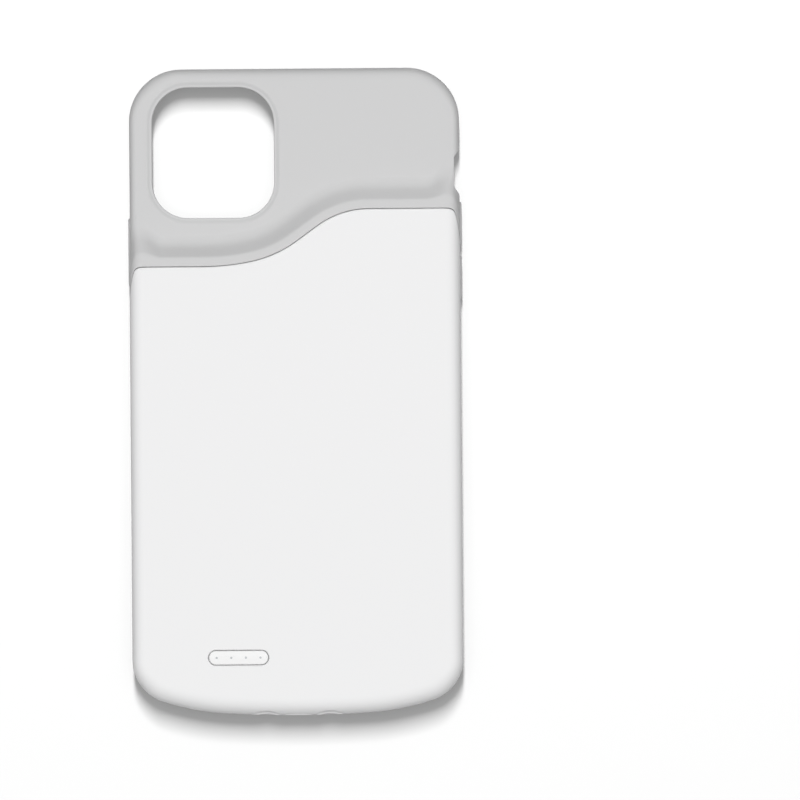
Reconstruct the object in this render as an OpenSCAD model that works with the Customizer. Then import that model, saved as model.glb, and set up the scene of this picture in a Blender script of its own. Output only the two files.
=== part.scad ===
// Battery charging case for a large phone, lying on its front lip with its back up.
// +X is the side with the volume keys, +Y is the top with the camera window, +Z is up and out of the back.
// The origin is in the middle of the outline, on the plane of the lip.

/* [Case] */
// Width across the side walls
case_w = 84; // [82.5:0.5:90]
// Length from the top edge to the middle of the bottom edge
case_l = 164.5; // [164:0.5:172]
// Height of the white cover's back above the lip
case_t = 16.5; // [16:0.1:20]
// Radius of the two top corners, seen from the back
top_corner_r = 13.3; // [10:0.1:18]
// Radius of the two bottom corners, where they leave the sides
low_corner_r = 11; // [9:0.1:16]
// Radius of the shoulders between the bottom corners and the bottom edge
shoulder_r = 66; // [50:1:90]
// Radius of the gently bowed bottom edge
bottom_bow_r = 290; // [200:10:500]
// Distance from the middle to where the bowed edge becomes a shoulder
bow_half_w = 18; // [12:0.5:22]
// Height of the seam along the sides, between the frame and the cover
belt_z = 7.6; // [7.4:0.1:8.2]

/* [Frame] */
// Thickness of the lip that holds the phone's front edge
lip_t = 1.2; // [1:0.1:1.8]
// How far the rounding under the lip reaches in from the side
lip_round_w = 1.7; // [1:0.1:2.4]
// Height of the rounding under the lip
lip_round_h = 2.4; // [1.5:0.1:3]
// How far the lip reaches over the phone at the sides
lip_over_side = 1.45; // [0.8:0.05:2.2]
// How far the lip reaches over the phone at the top
lip_over_top = 1.05; // [0.8:0.05:2.2]
// How far the lip reaches over the phone at the bottom
lip_over_bottom = 1.8; // [0.8:0.05:2.2]
// Thickness of the wall past the phone's top edge
top_wall_t = 2.5; // [2.2:0.1:3]
// Thickness of the upper back around the camera window
upper_back_t = 1.8; // [1.4:0.1:2.4]
// How far the rounding of the upper back reaches in from the side
upper_round_w = 3.6; // [2.5:0.1:5]

/* [Phone pocket] */
// Width of the phone that the case holds
phone_w = 77.8; // [77:0.1:78]
// Length of the phone
phone_l = 158; // [157:0.1:158.2]
// Thickness of the phone
phone_t = 8.1; // [7.8:0.1:8.3]
// Radius of the phone's corners, seen from the back
phone_corner_r = 13; // [11:0.1:15]
// Room around the phone's edge
pocket_play = 0.25; // [0.15:0.05:0.3]
// Room between the phone's back and the tray
pocket_play_z = 0.3; // [0.2:0.05:0.4]

/* [Camera window] */
// Width of the window
window_w = 31; // [26:0.1:32]
// Height of the window along the case
window_l = 33.2; // [28:0.1:34]
// Radius of the window's corners
window_r = 9.1; // [7:0.1:11]
// Distance from the side of the case to the window's edge
window_from_side = 5.9; // [5.5:0.1:8]
// Distance from the top of the case to the window's edge
window_from_top = 4.8; // [4.5:0.1:6]
// Width of the shallow dish around the window
window_dish_w = 1.9; // [1:0.1:2]
// Depth of the dish at the window's edge
window_dish_t = 0.35; // [0.2:0.05:0.6]

/* [Seam and ramp] */
// Distance from the case's middle up to the seam's level part at the power key side
seam_low_y = 31.7; // [28:0.1:34]
// Distance from the middle to where the seam begins to climb
climb_from_x = 23; // [20:0.5:28]
// Radius of the seam's first, wide bend
bend_wide_r = 60; // [50:1:80]
// Heading of the seam after the wide bend, in degrees
bend_wide_angle = 11.5; // [8:0.5:14]
// Radius of the seam's second bend
bend_tight_r = 30; // [24:1:40]
// Heading of the seam's straight climb, in degrees
climb_angle = 36; // [30:0.5:42]
// Length of the straight climb
climb_l = 6.5; // [4:0.5:10]
// Radius of the bend at the top of the climb
crest_r = 22; // [16:1:28]
// Radius of the cover's two upper corners, seen from the back
cover_corner_r = 3.5; // [2:0.1:5]
// Width of the level strip between the seam and the ramp
strip_w = 2.7; // [2:0.1:4]
// Width of the ramp from the strip down to the upper back
ramp_w = 5.4; // [4:0.1:7]
// How far the strip lies below the cover
strip_step = 0.2; // [0.1:0.05:0.4]
// Width of the frame's ledge under the cover's upper edge
ledge_w = 1.5; // [1:0.1:2]
// Thickness of that ledge
ledge_t = 1; // [0.8:0.1:1.4]
// Thickness of the ramp's wall
ramp_wall_t = 1.7; // [1.4:0.1:2.2]

/* [Back cover] */
// Thickness of the cover's back
cover_t = 1.4; // [1.2:0.1:1.8]
// Thickness of the cover's skirt at the belt seam
skirt_t = 1.2; // [1:0.05:1.25]
// How far the rounding of the cover reaches in from the side
cover_round_w = 5.5; // [4.5:0.1:6.5]
// Width of each sound outlet in the bottom edge
outlet_w = 7.1; // [5:0.1:7.2]
// Height of each sound outlet
outlet_h = 2.3; // [1.6:0.1:2.6]
// Distance from the middle to the centre of each sound outlet
outlet_x = 8.1; // [8:0.1:12]

/* [Tray] */
// Thickness of the tray between the phone and the battery
tray_t = 1; // [0.8:0.1:1.2]
// How far the tray's edge lies in from the case's side
tray_inset = 1.9; // [1.85:0.05:2.2]
// How far the tray's tongue reaches under the ramp, past the seam
tongue_reach = 1; // [0.5:0.1:1.4]
// Thickness of the tongue
tongue_t = 0.6; // [0.5:0.1:0.8]
// Diameter of each post under the main board
post_d = 3.6; // [3:0.1:4]

/* [Battery] */
// Width of the pouch cell
cell_w = 72; // [60:0.5:73]
// Length of the pouch cell
cell_l = 74; // [60:0.5:75]
// Thickness of the pouch cell
cell_t = 4.1; // [3.5:0.1:4.2]
// Radius of the pouch's corners
cell_r = 2.5; // [1:0.1:4]
// Distance from the seam's level part down to the cell
cell_from_seam = 3.4; // [3.2:0.1:5]
// Thickness of the tape under the cell
tape_t = 0.15; // [0.1:0.05:0.2]
// Width of each strip of tape
tape_w = 14; // [8:0.5:20]
// Width of each metal tab
tab_w = 4; // [3:0.1:6]
// Thickness of each metal tab
tab_t = 0.2; // [0.1:0.05:0.3]
// Length of each tab from the cell on to the protection board
tab_l = 2.6; // [2.2:0.1:3]
// Distance between the two tabs' middles
tab_pitch = 20; // [12:0.5:26]
// Length of the protection board across the case
guard_w = 34; // [28:0.5:40]
// Width of the protection board along the case
guard_l = 3.6; // [3.2:0.1:4]
// Diameter of each wire
lead_d = 1; // [0.8:0.1:1.2]
// Distance between the two wires
lead_pitch = 6; // [3:0.5:8]
// How far each wire lies on the protection board and on the main board
lead_lap = 1.6; // [1.2:0.1:1.8]

/* [Boards] */
// Width of the main board
board_w = 56; // [50:0.5:60]
// Thickness of both boards
board_t = 0.8; // [0.6:0.1:1]
// Distance between the protection board and the main board
board_gap = 1.6; // [1:0.1:2.4]
// Distance from the case's bottom edge to the main board
board_from_bottom = 4.5; // [4.3:0.1:6]
// Distance from the board's edges to each screw
screw_inset = 2.6; // [2.4:0.1:3.2]
// Diameter of the screw holes in the board
screw_hole_d = 1.8; // [1.6:0.1:2]
// Diameter of the screws' shanks
screw_d = 1.4; // [1.2:0.1:1.5]
// Diameter of the screws' heads
screw_head_d = 2.8; // [2.4:0.1:3.2]
// Height of the screws' heads
screw_head_t = 0.8; // [0.6:0.1:1]
// Depth of the screws in the tray's posts
screw_bite = 0.9; // [0.6:0.1:1]
// Side of the square charger chip
charger_side = 5; // [4:0.1:6]
// Side of the square controller chip
controller_side = 4; // [3:0.1:5]
// Height of both chips
chip_t = 0.9; // [0.7:0.1:1.2]
// Side of the square inductor
inductor_side = 6; // [5:0.1:7]
// Height of the inductor
inductor_t = 1.8; // [1.4:0.1:2]
// Diameter of the inductor's round core
inductor_core_d = 4.6; // [3.5:0.1:4.8]
// Length of each capacitor
capacitor_l = 2; // [1.6:0.1:3]
// Width and height of each capacitor
capacitor_w = 1.2; // [0.8:0.1:1.4]
// Distance between neighbouring capacitors
capacitor_pitch = 2.2; // [2:0.1:3]
// Number of capacitors
capacitor_count = 6; // [3:1:7]

/* [Status button] */
// Length of the button's hole in the cover
button_l = 15.4; // [14:0.1:18]
// Width of the button's hole
button_w = 3.9; // [3:0.1:5]
// Distance from the middle to the button, towards the power key side
button_x = 14.95; // [12:0.05:18]
// Distance from the case's bottom edge to the button's middle
button_from_bottom = 14.95; // [13:0.05:17]
// How far the button stands proud of the cover
button_proud = 0.1; // [0:0.05:0.3]
// How far the button travels
button_travel = 0.3; // [0.2:0.05:0.35]
// How far the button's flange reaches past its hole
flange_reach = 0.9; // [0.6:0.1:1.4]
// Thickness of the flange
flange_t = 0.7; // [0.5:0.1:0.8]
// Number of light dots
dot_count = 4; // [3:1:5]
// Distance between neighbouring dots
dot_pitch = 3.7; // [2.6:0.1:3.8]
// Diameter of each dot
dot_d = 0.6; // [0.4:0.05:0.9]
// Width of the clear bar under the dots
guide_w = 2; // [1.4:0.1:2.4]
// Thickness of the clear bar
guide_t = 0.4; // [0.3:0.05:0.5]
// Length of each lamp
led_l = 1.6; // [1:0.1:2]
// Width of each lamp
led_w = 0.8; // [0.5:0.1:1.2]
// Height of each lamp
led_t = 0.5; // [0.3:0.05:0.6]
// Length of the switch across the case
switch_l = 4; // [3:0.1:5]
// Width of the switch along the case
switch_w = 3; // [2.6:0.1:3.4]
// Height of the switch's body
switch_t = 1; // [0.8:0.05:1.05]
// Diameter of the switch's plunger
plunger_d = 1.6; // [1:0.1:1.8]
// Depth of the plunger's end inside the switch
plunger_sunk = 0.3; // [0.2:0.05:0.35]
// Distance from the dots to the switch, along the case
switch_from_dots = 4.6; // [4.4:0.1:5.4]

/* [Side keys] */
// Length of the volume up key
volume_up_l = 11.2; // [9:0.1:12]
// Height of its middle above the case's middle
volume_up_y = 42.4; // [42:0.1:43]
// Length of the volume down key
volume_down_l = 11.1; // [9:0.1:12]
// Height of its middle above the case's middle
volume_down_y = 28.75; // [28:0.05:29]
// Length of the power key
power_l = 17.5; // [12:0.1:20]
// Height of its middle above the case's middle
power_y = 35.75; // [33:0.05:40]
// Width of each key through the thickness of the case
key_w = 2.8; // [2:0.1:2.8]
// How far the keys stand proud of the side
key_proud = 0.5; // [0.3:0.05:0.8]
// How far the keys travel
key_travel = 0.4; // [0.2:0.05:0.45]
// How far each key's inner flange reaches past its slot
key_flange_reach = 0.6; // [0.4:0.1:0.6]
// Thickness of the inner flange
key_flange_t = 0.6; // [0.4:0.05:0.7]
// Height of the nub that meets the phone's own button
key_nub_t = 0.3; // [0.2:0.05:0.35]
// Length of that nub
key_nub_l = 4; // [3:0.1:6]
// Gap at both ends of each key
key_end_gap = 0.35; // [0.2:0.05:0.5]

/* [Mute cut-out] */
// Height of the cut-out's middle above the case's middle
mute_y = 55.5; // [55.5:0.1:57]
// Length of the cut-out's opening through the side wall
mute_l = 7.1; // [6:0.1:8]
// Length of the scoop in the side around it
mute_scoop_l = 12.4; // [10:0.1:12.4]
// Depth of the scoop
mute_scoop_t = 1.4; // [0.8:0.1:1.8]
// Height of the opening through the thickness of the case
mute_h = 5; // [4.6:0.1:5.6]

/* [Ports] */
// Width of the charge port's shell
port_w = 7.5; // [6:0.1:7.6]
// Height of the shell
port_h = 2.6; // [2.2:0.1:2.7]
// Depth of the shell into the case
port_l = 5.5; // [5:0.1:7]
// Thickness of the shell's metal
port_wall_t = 0.3; // [0.2:0.05:0.4]
// How far the port's mouth lies in from the case's bottom edge
port_set_in = 1.3; // [1.2:0.05:2]
// Gap between the tray and the shell
port_lift = 0.35; // [0.3:0.05:0.5]
// Thickness of the port's tongue
port_tongue_t = 0.6; // [0.4:0.1:0.8]
// Width of the plug's blade that enters the phone
blade_w = 6.7; // [5:0.1:8]
// Thickness of the blade
blade_t = 1.5; // [1.2:0.1:2.4]
// Length of the blade in the pocket
blade_l = 6.8; // [5:0.1:7]
// Width of the plug's base
plug_base_w = 9.4; // [8.2:0.1:11]
// Height of the plug's base
plug_base_h = 3; // [2.5:0.1:3.2]
// Depth of the plug's base in the chin
plug_base_l = 2.4; // [1.8:0.1:2.5]
// Number of contacts on each face of the blade
contact_count = 8; // [5:1:8]
// Width of each contact
contact_w = 0.45; // [0.3:0.05:0.5]
// Length of each contact
contact_l = 3; // [2:0.1:4]
// Thickness of each contact
contact_t = 0.08; // [0.05:0.01:0.1]
// Width of the flexible strip from the plug to the main board
flex_w = 5; // [3:0.1:6]
// Thickness of that strip
flex_t = 0.15; // [0.1:0.05:0.2]
// Width of the sound slots through the chin, under the phone's speakers
sound_slot_w = 13; // [8:0.5:15]
// Height of the sound slots
sound_slot_h = 2; // [1.5:0.1:2.4]
// Distance from the middle to the centre of each sound slot
sound_slot_x = 15.5; // [14.5:0.1:18]

/* [Clearances] */
// Gap between pieces that slide on each other
slide_gap = 0.15; // [0.1:0.01:0.2]
// Gap between pieces that seat on each other
seat_gap = 0.05; // [0.03:0.01:0.1]
// Width of the seam between the frame and the cover
seam_gap = 0.15; // [0.1:0.01:0.3]

/* [Hidden] */

$fn = 48;
// Steps along each bend of the outline, the seam and the roundings
corner_steps = 9;
shoulder_steps = 3;
bow_steps = 4;
round_steps = 5;
lip_steps = 3;
bend_steps = 5;
hollow_steps = 3;
// How far a cut runs past the surface that it opens
overrun = 1;

// Half sizes and levels that several pieces share
half_w = case_w / 2;
half_l = case_l / 2;
pocket_w = phone_w + 2 * pocket_play;
pocket_l = phone_l + 2 * pocket_play;
pocket_r = phone_corner_r + pocket_play;
pocket_top_y = half_l - top_wall_t;
pocket_low_y = pocket_top_y - pocket_l;
pocket_mid_y = (pocket_top_y + pocket_low_y) / 2;
side_wall_t = (case_w - pocket_w) / 2;
pocket_z = lip_t + phone_t + pocket_play_z;
phone_mid_z = lip_t + (phone_t + pocket_play_z) / 2;
upper_back_z = pocket_z + upper_back_t;
tray_z = pocket_z + tray_t;
strip_z = case_t - strip_step;
cover_under_z = case_t - cover_t;
ledge_z = cover_under_z - seat_gap;
ledge_under_z = ledge_z - ledge_t;
port_z = tray_z + port_lift + port_h / 2;
board_z = port_z - board_t / 2;
board_top_z = board_z + board_t;
lip_open_w = pocket_w - 2 * lip_over_side;
lip_open_top_y = pocket_top_y - lip_over_top;
lip_open_low_y = pocket_low_y + lip_over_bottom;
lip_open_r = pocket_r - lip_over_side;
window_x = -half_w + window_from_side + window_w / 2;
window_y = half_l - window_from_top - window_l / 2;

// Centres of the outline's arcs: each shoulder touches the bowed edge and each low corner touches a shoulder
bow_angle = asin(bow_half_w / bottom_bow_r);
bow_y = bottom_bow_r - half_l;
shoulder_x = (bottom_bow_r - shoulder_r) * sin(bow_angle);
shoulder_y = bow_y - (bottom_bow_r - shoulder_r) * cos(bow_angle);
low_corner_x = half_w - low_corner_r;
low_corner_dx = low_corner_x - shoulder_x;
low_corner_dy = sqrt(pow(shoulder_r - low_corner_r, 2) - pow(low_corner_dx, 2));
low_corner_y = shoulder_y - low_corner_dy;
shoulder_angle = atan2(low_corner_dy, low_corner_dx);

// The seam's path from the power key side to the volume key side
bend1_dx = bend_wide_r * sin(bend_wide_angle);
bend1_dy = bend_wide_r * (1 - cos(bend_wide_angle));
bend2_dx = bend_tight_r * (sin(climb_angle) - sin(bend_wide_angle));
bend2_dy = bend_tight_r * (cos(bend_wide_angle) - cos(climb_angle));
bend1_x = -climb_from_x;
bend2_x = bend1_x + bend1_dx;
bend2_y = seam_low_y + bend1_dy;
climb_x = bend2_x + bend2_dx;
climb_y = bend2_y + bend2_dy;
crest_x = climb_x + climb_l * cos(climb_angle);
crest_y = climb_y + climb_l * sin(climb_angle);
crest_end_x = crest_x + crest_r * sin(climb_angle);
seam_high_y = crest_y + crest_r * (1 - cos(climb_angle));

// Places along the case inside the cover
cell_top_y = seam_low_y - cell_from_seam;
cell_low_y = cell_top_y - cell_l;
cell_y = (cell_top_y + cell_low_y) / 2;
cell_z = tray_z + tape_t;
tab_y = cell_low_y - tab_l / 2;
guard_top_y = cell_low_y - tab_l / 4;
guard_low_y = guard_top_y - guard_l;
board_low_y = -half_l + board_from_bottom;
board_high_y = guard_low_y - board_gap;
board_l = board_high_y - board_low_y;
button_y = -half_l + button_from_bottom;
flange_z = cover_under_z - slide_gap - flange_t;
guide_z = flange_z - guide_t;
switch_y = button_y + switch_from_dots;
switch_top_z = board_top_z + switch_t;
port_mouth_y = -half_l + port_set_in;
plug_base_y = pocket_low_y - plug_base_l;
flex_y = pocket_low_y - plug_base_l / 2;
flex_end_y = port_mouth_y + port_l + lead_d;
chip_row_y = board_high_y - screw_inset - charger_side / 2;
key_recess_t = key_flange_t + key_travel + slide_gap;

// Points of an arc about [x, y], leaving out the first when it repeats the one before
function arc(x, y, r, a0, a1, steps, first = 1) = [
    for (i = [first:steps]) let (a = a0 + (a1 - a0) * i / steps) [x + r * cos(a), y + r * sin(a)]
];

// The case's outline, drawn in by a distance, anticlockwise from the volume key side
function outline(inset) = concat(
    arc(half_w - top_corner_r, half_l - top_corner_r, top_corner_r - inset, 0, 90, corner_steps, 0),
    arc(top_corner_r - half_w, half_l - top_corner_r, top_corner_r - inset, 90, 180, corner_steps, 0),
    arc(-low_corner_x, low_corner_y, low_corner_r - inset, 180, 180 + shoulder_angle, corner_steps, 0),
    arc(-shoulder_x, shoulder_y, shoulder_r - inset, 180 + shoulder_angle, 270 - bow_angle, shoulder_steps),
    arc(0, bow_y, bottom_bow_r - inset, 270 - bow_angle, 270 + bow_angle, bow_steps),
    arc(shoulder_x, shoulder_y, shoulder_r - inset, 270 + bow_angle, 360 - shoulder_angle, shoulder_steps),
    arc(low_corner_x, low_corner_y, low_corner_r - inset, 360 - shoulder_angle, 360, corner_steps)
);

// The outline as a ring of points at a height
function ring(inset, z) = [for (p = outline(inset)) [p[0], p[1], z]];

// Rings of a rounding that rises from the side wall at z0 to a level top at z1
function round_rings(inset, width, z0, z1) = [
    for (i = [0:round_steps]) let (a = 90 * i / round_steps)
        ring(inset + width * (1 - cos(a)), z0 + (z1 - z0) * sin(a))
];

// Rings of the rounding under the lip, from the lip's plane up
function lip_rings() = [
    for (i = [0:lip_steps]) let (a = 90 * i / lip_steps)
        ring(lip_round_w * (1 - sin(a)), lip_round_h * (1 - cos(a)))
];

// The seam's path moved by a distance towards the camera window, as [x, y] from one side to the other
function seam_path(off, reach) = concat(
    [[-reach, seam_low_y + off]],
    arc(bend1_x, seam_low_y + bend_wide_r, bend_wide_r - off, 270, 270 + bend_wide_angle, bend_steps, 0),
    arc(bend2_x - bend_tight_r * sin(bend_wide_angle), bend2_y + bend_tight_r * cos(bend_wide_angle),
        bend_tight_r - off, 270 + bend_wide_angle, 270 + climb_angle, bend_steps),
    arc(crest_end_x, seam_high_y - crest_r, crest_r + off, 90 + climb_angle, 90, bend_steps, 0),
    [[reach, seam_high_y + off]]
);

// The seam's path with the cover's two rounded upper corners, moved by a distance
function cover_edge(off) = concat(
    [[-half_w - overrun, seam_low_y - cover_corner_r]],
    arc(cover_corner_r - half_w, seam_low_y - cover_corner_r, cover_corner_r + off, 180, 90, bend_steps, 0),
    [for (p = seam_path(off, half_w)) if (abs(p[0]) < half_w - cover_corner_r) p],
    arc(half_w - cover_corner_r, seam_high_y - cover_corner_r, cover_corner_r + off, 90, 0, bend_steps, 0),
    [[half_w + overrun, seam_high_y - cover_corner_r]]
);

// A closed solid through rings of equal count, each anticlockwise when seen from the last ring's side
module loft(rings) {
    count = len(rings[0]);
    last = len(rings) - 1;
    polyhedron(
        points = [for (r = rings) each r],
        faces = concat(
            [[for (i = [0:count - 1]) i]],
            [[for (i = [count - 1:-1:0]) last * count + i]],
            [for (j = [0:last - 1], i = [0:count - 1]) let (k = (i + 1) % count)
                [j * count + i, (j + 1) * count + i, (j + 1) * count + k]],
            [for (j = [0:last - 1], i = [0:count - 1]) let (k = (i + 1) % count)
                [j * count + i, (j + 1) * count + k, j * count + k]]
        )
    );
}

// A bar whose profile, a list of [off, z] pairs, follows the seam from side to side
module seam_bar(profile, reach) {
    lanes = [for (p = profile) seam_path(p[0], reach)];
    loft([
        for (i = [0:len(lanes[0]) - 1])
            [for (k = [0:len(profile) - 1]) [lanes[k][i][0], lanes[k][i][1], profile[k][1]]]
    ]);
}

// An upright prism over a list of points
module prism(points, z0, z1) {
    translate([0, 0, z0])
        linear_extrude(z1 - z0)
            polygon(points);
}

// An upright prism over everything below the cover's edge, moved by a distance
module cover_zone(off, z0, z1) {
    prism(concat(cover_edge(off),
                 [[half_w + overrun, -half_l - overrun], [-half_w - overrun, -half_l - overrun]]), z0, z1);
}

// A flat shape with rounded corners, or with round ends where r is half its width or length
module rounded_rect(w, l, r) {
    xs = w > 2 * r ? [-1, 1] : [0];
    ys = l > 2 * r ? [-1, 1] : [0];
    if (len(xs) > 1)
        square([w - 2 * r, l], center = true);
    if (len(ys) > 1)
        square([w, l - 2 * r], center = true);
    for (x = xs, y = ys)
        translate([x * (w / 2 - r), y * (l / 2 - r)])
            circle(r);
}

// A plate with rounded corners, from z0 to z1
module rounded_plate(x, y, w, l, r, z0, z1) {
    translate([x, y, z0])
        linear_extrude(z1 - z0)
            rounded_rect(w, l, r);
}

// A plate with rounded ends that stands in the XZ plane and runs along Y, from y0 to y1
module rounded_bar_y(x, z, w, h, r, y0, y1) {
    translate([x, y1, z])
        rotate([90, 0, 0])
            linear_extrude(y1 - y0)
                rounded_rect(w, h, r);
}

// A block from its lowest corner to its highest
module block(low, high) {
    translate(low)
        cube(high - low);
}

// The ramp that climbs from the upper back to the strip beside the seam
module ramp() {
    foot = strip_w + ramp_w;
    profile = concat(
        [[-cover_corner_r - overrun, belt_z + lip_t], [foot, belt_z + lip_t]],
        [for (i = [round_steps:-1:0]) let (t = i / round_steps)
            [strip_w + ramp_w * t,
             upper_back_z - seam_gap + (strip_z - upper_back_z + seam_gap) * (1 + cos(180 * t)) / 2]],
        [[-cover_corner_r - overrun, strip_z]]
    );
    intersection() {
        seam_bar(profile, half_w + overrun);
        loft(round_rings(0, cover_round_w, belt_z, strip_z));
    }
}

// The hollow under the ramp, on the battery's side, relieved in steps that follow the slope
module ramp_hollow() {
    reach_x = half_w - side_wall_t - skirt_t;
    rise = (ledge_under_z - tray_z) / hollow_steps;
    for (i = [1:hollow_steps])
        intersection() {
            cover_zone(strip_w - ramp_wall_t / 2 + (ramp_w - ramp_wall_t) / 2 * (1 - i / hollow_steps),
                       tray_z, tray_z + rise * i);
            block([-reach_x, seam_low_y - ledge_w - overrun, tray_z - overrun],
                  [reach_x, half_l, case_t]);
        }
}

// The camera window with the shallow dish around it
module window_cut() {
    rounded_plate(window_x, window_y, window_w, window_l, window_r, lip_t, case_t);
    hull()
        for (x = [-1, 1], y = [-1, 1])
            translate([window_x + x * (window_w / 2 - window_r), window_y + y * (window_l / 2 - window_r),
                       upper_back_z - window_dish_t])
                cylinder(h = window_dish_t * 2, r1 = window_r, r2 = window_r + 2 * window_dish_w, $fn = 32);
}

// Everything that a side key needs cut from the wall, with the wall's outer face at x = 0
module key_cut(l) {
    slot_w = key_w + 2 * slide_gap;
    slot_l = l + 2 * key_end_gap;
    rotate([0, 90, 0])
        translate([0, 0, -side_wall_t - overrun])
            linear_extrude(side_wall_t + 2 * overrun)
                rounded_rect(slot_w, slot_l, slot_w / 2);
    rotate([0, 90, 0])
        translate([0, 0, -side_wall_t - overrun])
            linear_extrude(overrun + key_recess_t)
                rounded_rect(slot_w + 2 * (key_flange_reach + slide_gap),
                             slot_l + 2 * (key_flange_reach + slide_gap),
                             slot_w / 2);
}

// A side key with its stem, inner flange and nub, with the wall's outer face at x = 0
module side_key(l) {
    stem_l = side_wall_t - key_recess_t + seat_gap;
    rotate([0, 90, 0]) {
        translate([0, 0, -stem_l])
            linear_extrude(stem_l + key_proud / 2)
                rounded_rect(key_w, l, key_w / 2);
        translate([0, 0, key_proud / 2])
            linear_extrude(key_proud / 2)
                rounded_rect(key_w - key_proud, l - key_proud, (key_w - key_proud) / 2);
        translate([0, 0, -stem_l - key_flange_t])
            linear_extrude(key_flange_t)
                rounded_rect(key_w + 2 * key_flange_reach, l + 2 * key_flange_reach, key_w / 2);
        translate([0, 0, -stem_l - key_flange_t - key_nub_t])
            linear_extrude(key_nub_t)
                rounded_rect(key_w / 2, key_nub_l, key_w / 4);
    }
}

// Puts what it holds at a key's place on the volume key side
module at_volume_side(y) {
    translate([half_w, y, phone_mid_z])
        children();
}

// Puts what it holds at a key's place on the power key side
module at_power_side(y) {
    mirror([1, 0, 0])
        at_volume_side(y)
            children();
}

// The scooped cut-out at the phone's mute switch
module mute_cut() {
    prism([
        [half_w + overrun, mute_y + mute_scoop_l / 2],
        [half_w, mute_y + mute_scoop_l / 2],
        [half_w - mute_scoop_t, mute_y + mute_l / 2],
        [half_w - mute_scoop_t, mute_y - mute_l / 2],
        [half_w, mute_y - mute_scoop_l / 2],
        [half_w + overrun, mute_y - mute_scoop_l / 2]
    ], -overrun, case_t + overrun);
    translate([half_w + overrun, mute_y, phone_mid_z])
        rotate([0, -90, 0])
            linear_extrude(side_wall_t + 2 * overrun)
                rounded_rect(mute_h, mute_l, key_w / 2);
}

// The slot that the flexible strip rises through
module flex_cut(z1) {
    block([-flex_w / 2 - slide_gap, flex_y - flex_t - slide_gap, phone_mid_z],
          [flex_w / 2 + slide_gap, flex_y + flex_t + slide_gap, z1]);
}

module bumper_frame() {
    color("#CFCFCF")
        difference() {
            union() {
                loft(concat(lip_rings(), round_rings(0, upper_round_w, belt_z, upper_back_z)));
                ramp();
            }
            ramp_hollow();
            cover_zone(-ledge_w, pocket_z, case_t);
            difference() {
                cover_zone(seam_gap, belt_z, case_t + overrun);
                cover_inside(2 * seam_gap, ledge_z);
            }
            rounded_plate(0, pocket_mid_y, pocket_w, pocket_l, pocket_r, lip_t, pocket_z);
            rounded_plate(0, (lip_open_top_y + lip_open_low_y) / 2, lip_open_w,
                          lip_open_top_y - lip_open_low_y, lip_open_r, -overrun, lip_t + seat_gap);
            window_cut();
            mute_cut();
            at_volume_side(volume_up_y) key_cut(volume_up_l);
            at_volume_side(volume_down_y) key_cut(volume_down_l);
            at_power_side(power_y) key_cut(power_l);
            block([-plug_base_w / 2 - seat_gap, plug_base_y - seat_gap, phone_mid_z - plug_base_h / 2 - seat_gap],
                  [plug_base_w / 2 + seat_gap, pocket_low_y + overrun, phone_mid_z + plug_base_h / 2 + seat_gap]);
            flex_cut(pocket_z + overrun);
            for (x = [-sound_slot_x, sound_slot_x])
                rounded_bar_y(x, phone_mid_z, sound_slot_w, sound_slot_h, sound_slot_h / 2,
                              -half_l - overrun, pocket_low_y + overrun);
        }
}

// The room inside the cover's skirt and back, drawn in by a gap and closed at a height
module cover_inside(gap, top_z) {
    loft(concat([ring(skirt_t + gap, belt_z - overrun)],
                round_rings(skirt_t + gap, cover_round_w - skirt_t / 2, belt_z + skirt_t, top_z)));
}

module back_cover() {
    color("#F2F2F2")
        difference() {
            intersection() {
                loft(round_rings(0, cover_round_w, belt_z + seat_gap, case_t));
                cover_zone(0, belt_z, case_t + overrun);
            }
            cover_inside(0, cover_under_z);
            rounded_plate(-button_x, button_y, button_l, button_w, button_w / 2, tray_z, case_t + overrun);
            rounded_bar_y(0, port_z, port_w + 2 * slide_gap, port_h + 2 * slide_gap, port_h / 2,
                          -half_l - overrun, board_low_y);
            for (x = [-outlet_x, outlet_x])
                rounded_bar_y(x, port_z, outlet_w, outlet_h, outlet_h / 2, -half_l - overrun, board_low_y);
        }
}

// Where each screw stands
module at_screws() {
    for (x = [-1, 1], y = [board_low_y + screw_inset, board_high_y - screw_inset])
        translate([x * (board_w / 2 - screw_inset), y, 0])
            children();
}

module inner_tray() {
    color("#BDBDBD")
        difference() {
            union() {
                intersection() {
                    prism(outline(tray_inset), pocket_z, tray_z);
                    cover_zone(-ledge_w - slide_gap, pocket_z - overrun, tray_z + overrun);
                }
                intersection() {
                    prism(outline(side_wall_t + skirt_t + slide_gap), tray_z, tray_z + tongue_t);
                    difference() {
                        cover_zone(tongue_reach, pocket_z, case_t);
                        cover_zone(-ledge_w * 2, pocket_z - overrun, case_t + overrun);
                    }
                }
                at_screws()
                    translate([0, 0, tray_z])
                        cylinder(h = board_z - tray_z, d = post_d);
            }
            at_screws()
                translate([0, 0, board_z - screw_bite - seat_gap])
                    cylinder(h = screw_bite + overrun, d = screw_d + 2 * seat_gap);
            flex_cut(tray_z + overrun);
            block([-flex_w / 2 - slide_gap, -half_l, pocket_z - overrun],
                  [flex_w / 2 + slide_gap, flex_y, tray_z + overrun]);
        }
}

module cell_tape() {
    color("#E8D9A8")
        for (x = [-1, 1])
            block([x * cell_w / 4 - tape_w / 2, cell_low_y + tape_w / 2, tray_z],
                  [x * cell_w / 4 + tape_w / 2, cell_top_y - tape_w / 2, cell_z]);
}

module battery_cell() {
    edge = cell_t / 5;
    color("#B9BEC4") {
        rounded_plate(0, cell_y, cell_w - 2 * edge, cell_l - 2 * edge, cell_r, cell_z, cell_z + edge);
        rounded_plate(0, cell_y, cell_w, cell_l, cell_r + edge, cell_z + edge, cell_z + cell_t - edge);
        rounded_plate(0, cell_y, cell_w - 2 * edge, cell_l - 2 * edge, cell_r,
                      cell_z + cell_t - edge, cell_z + cell_t);
    }
}

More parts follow.
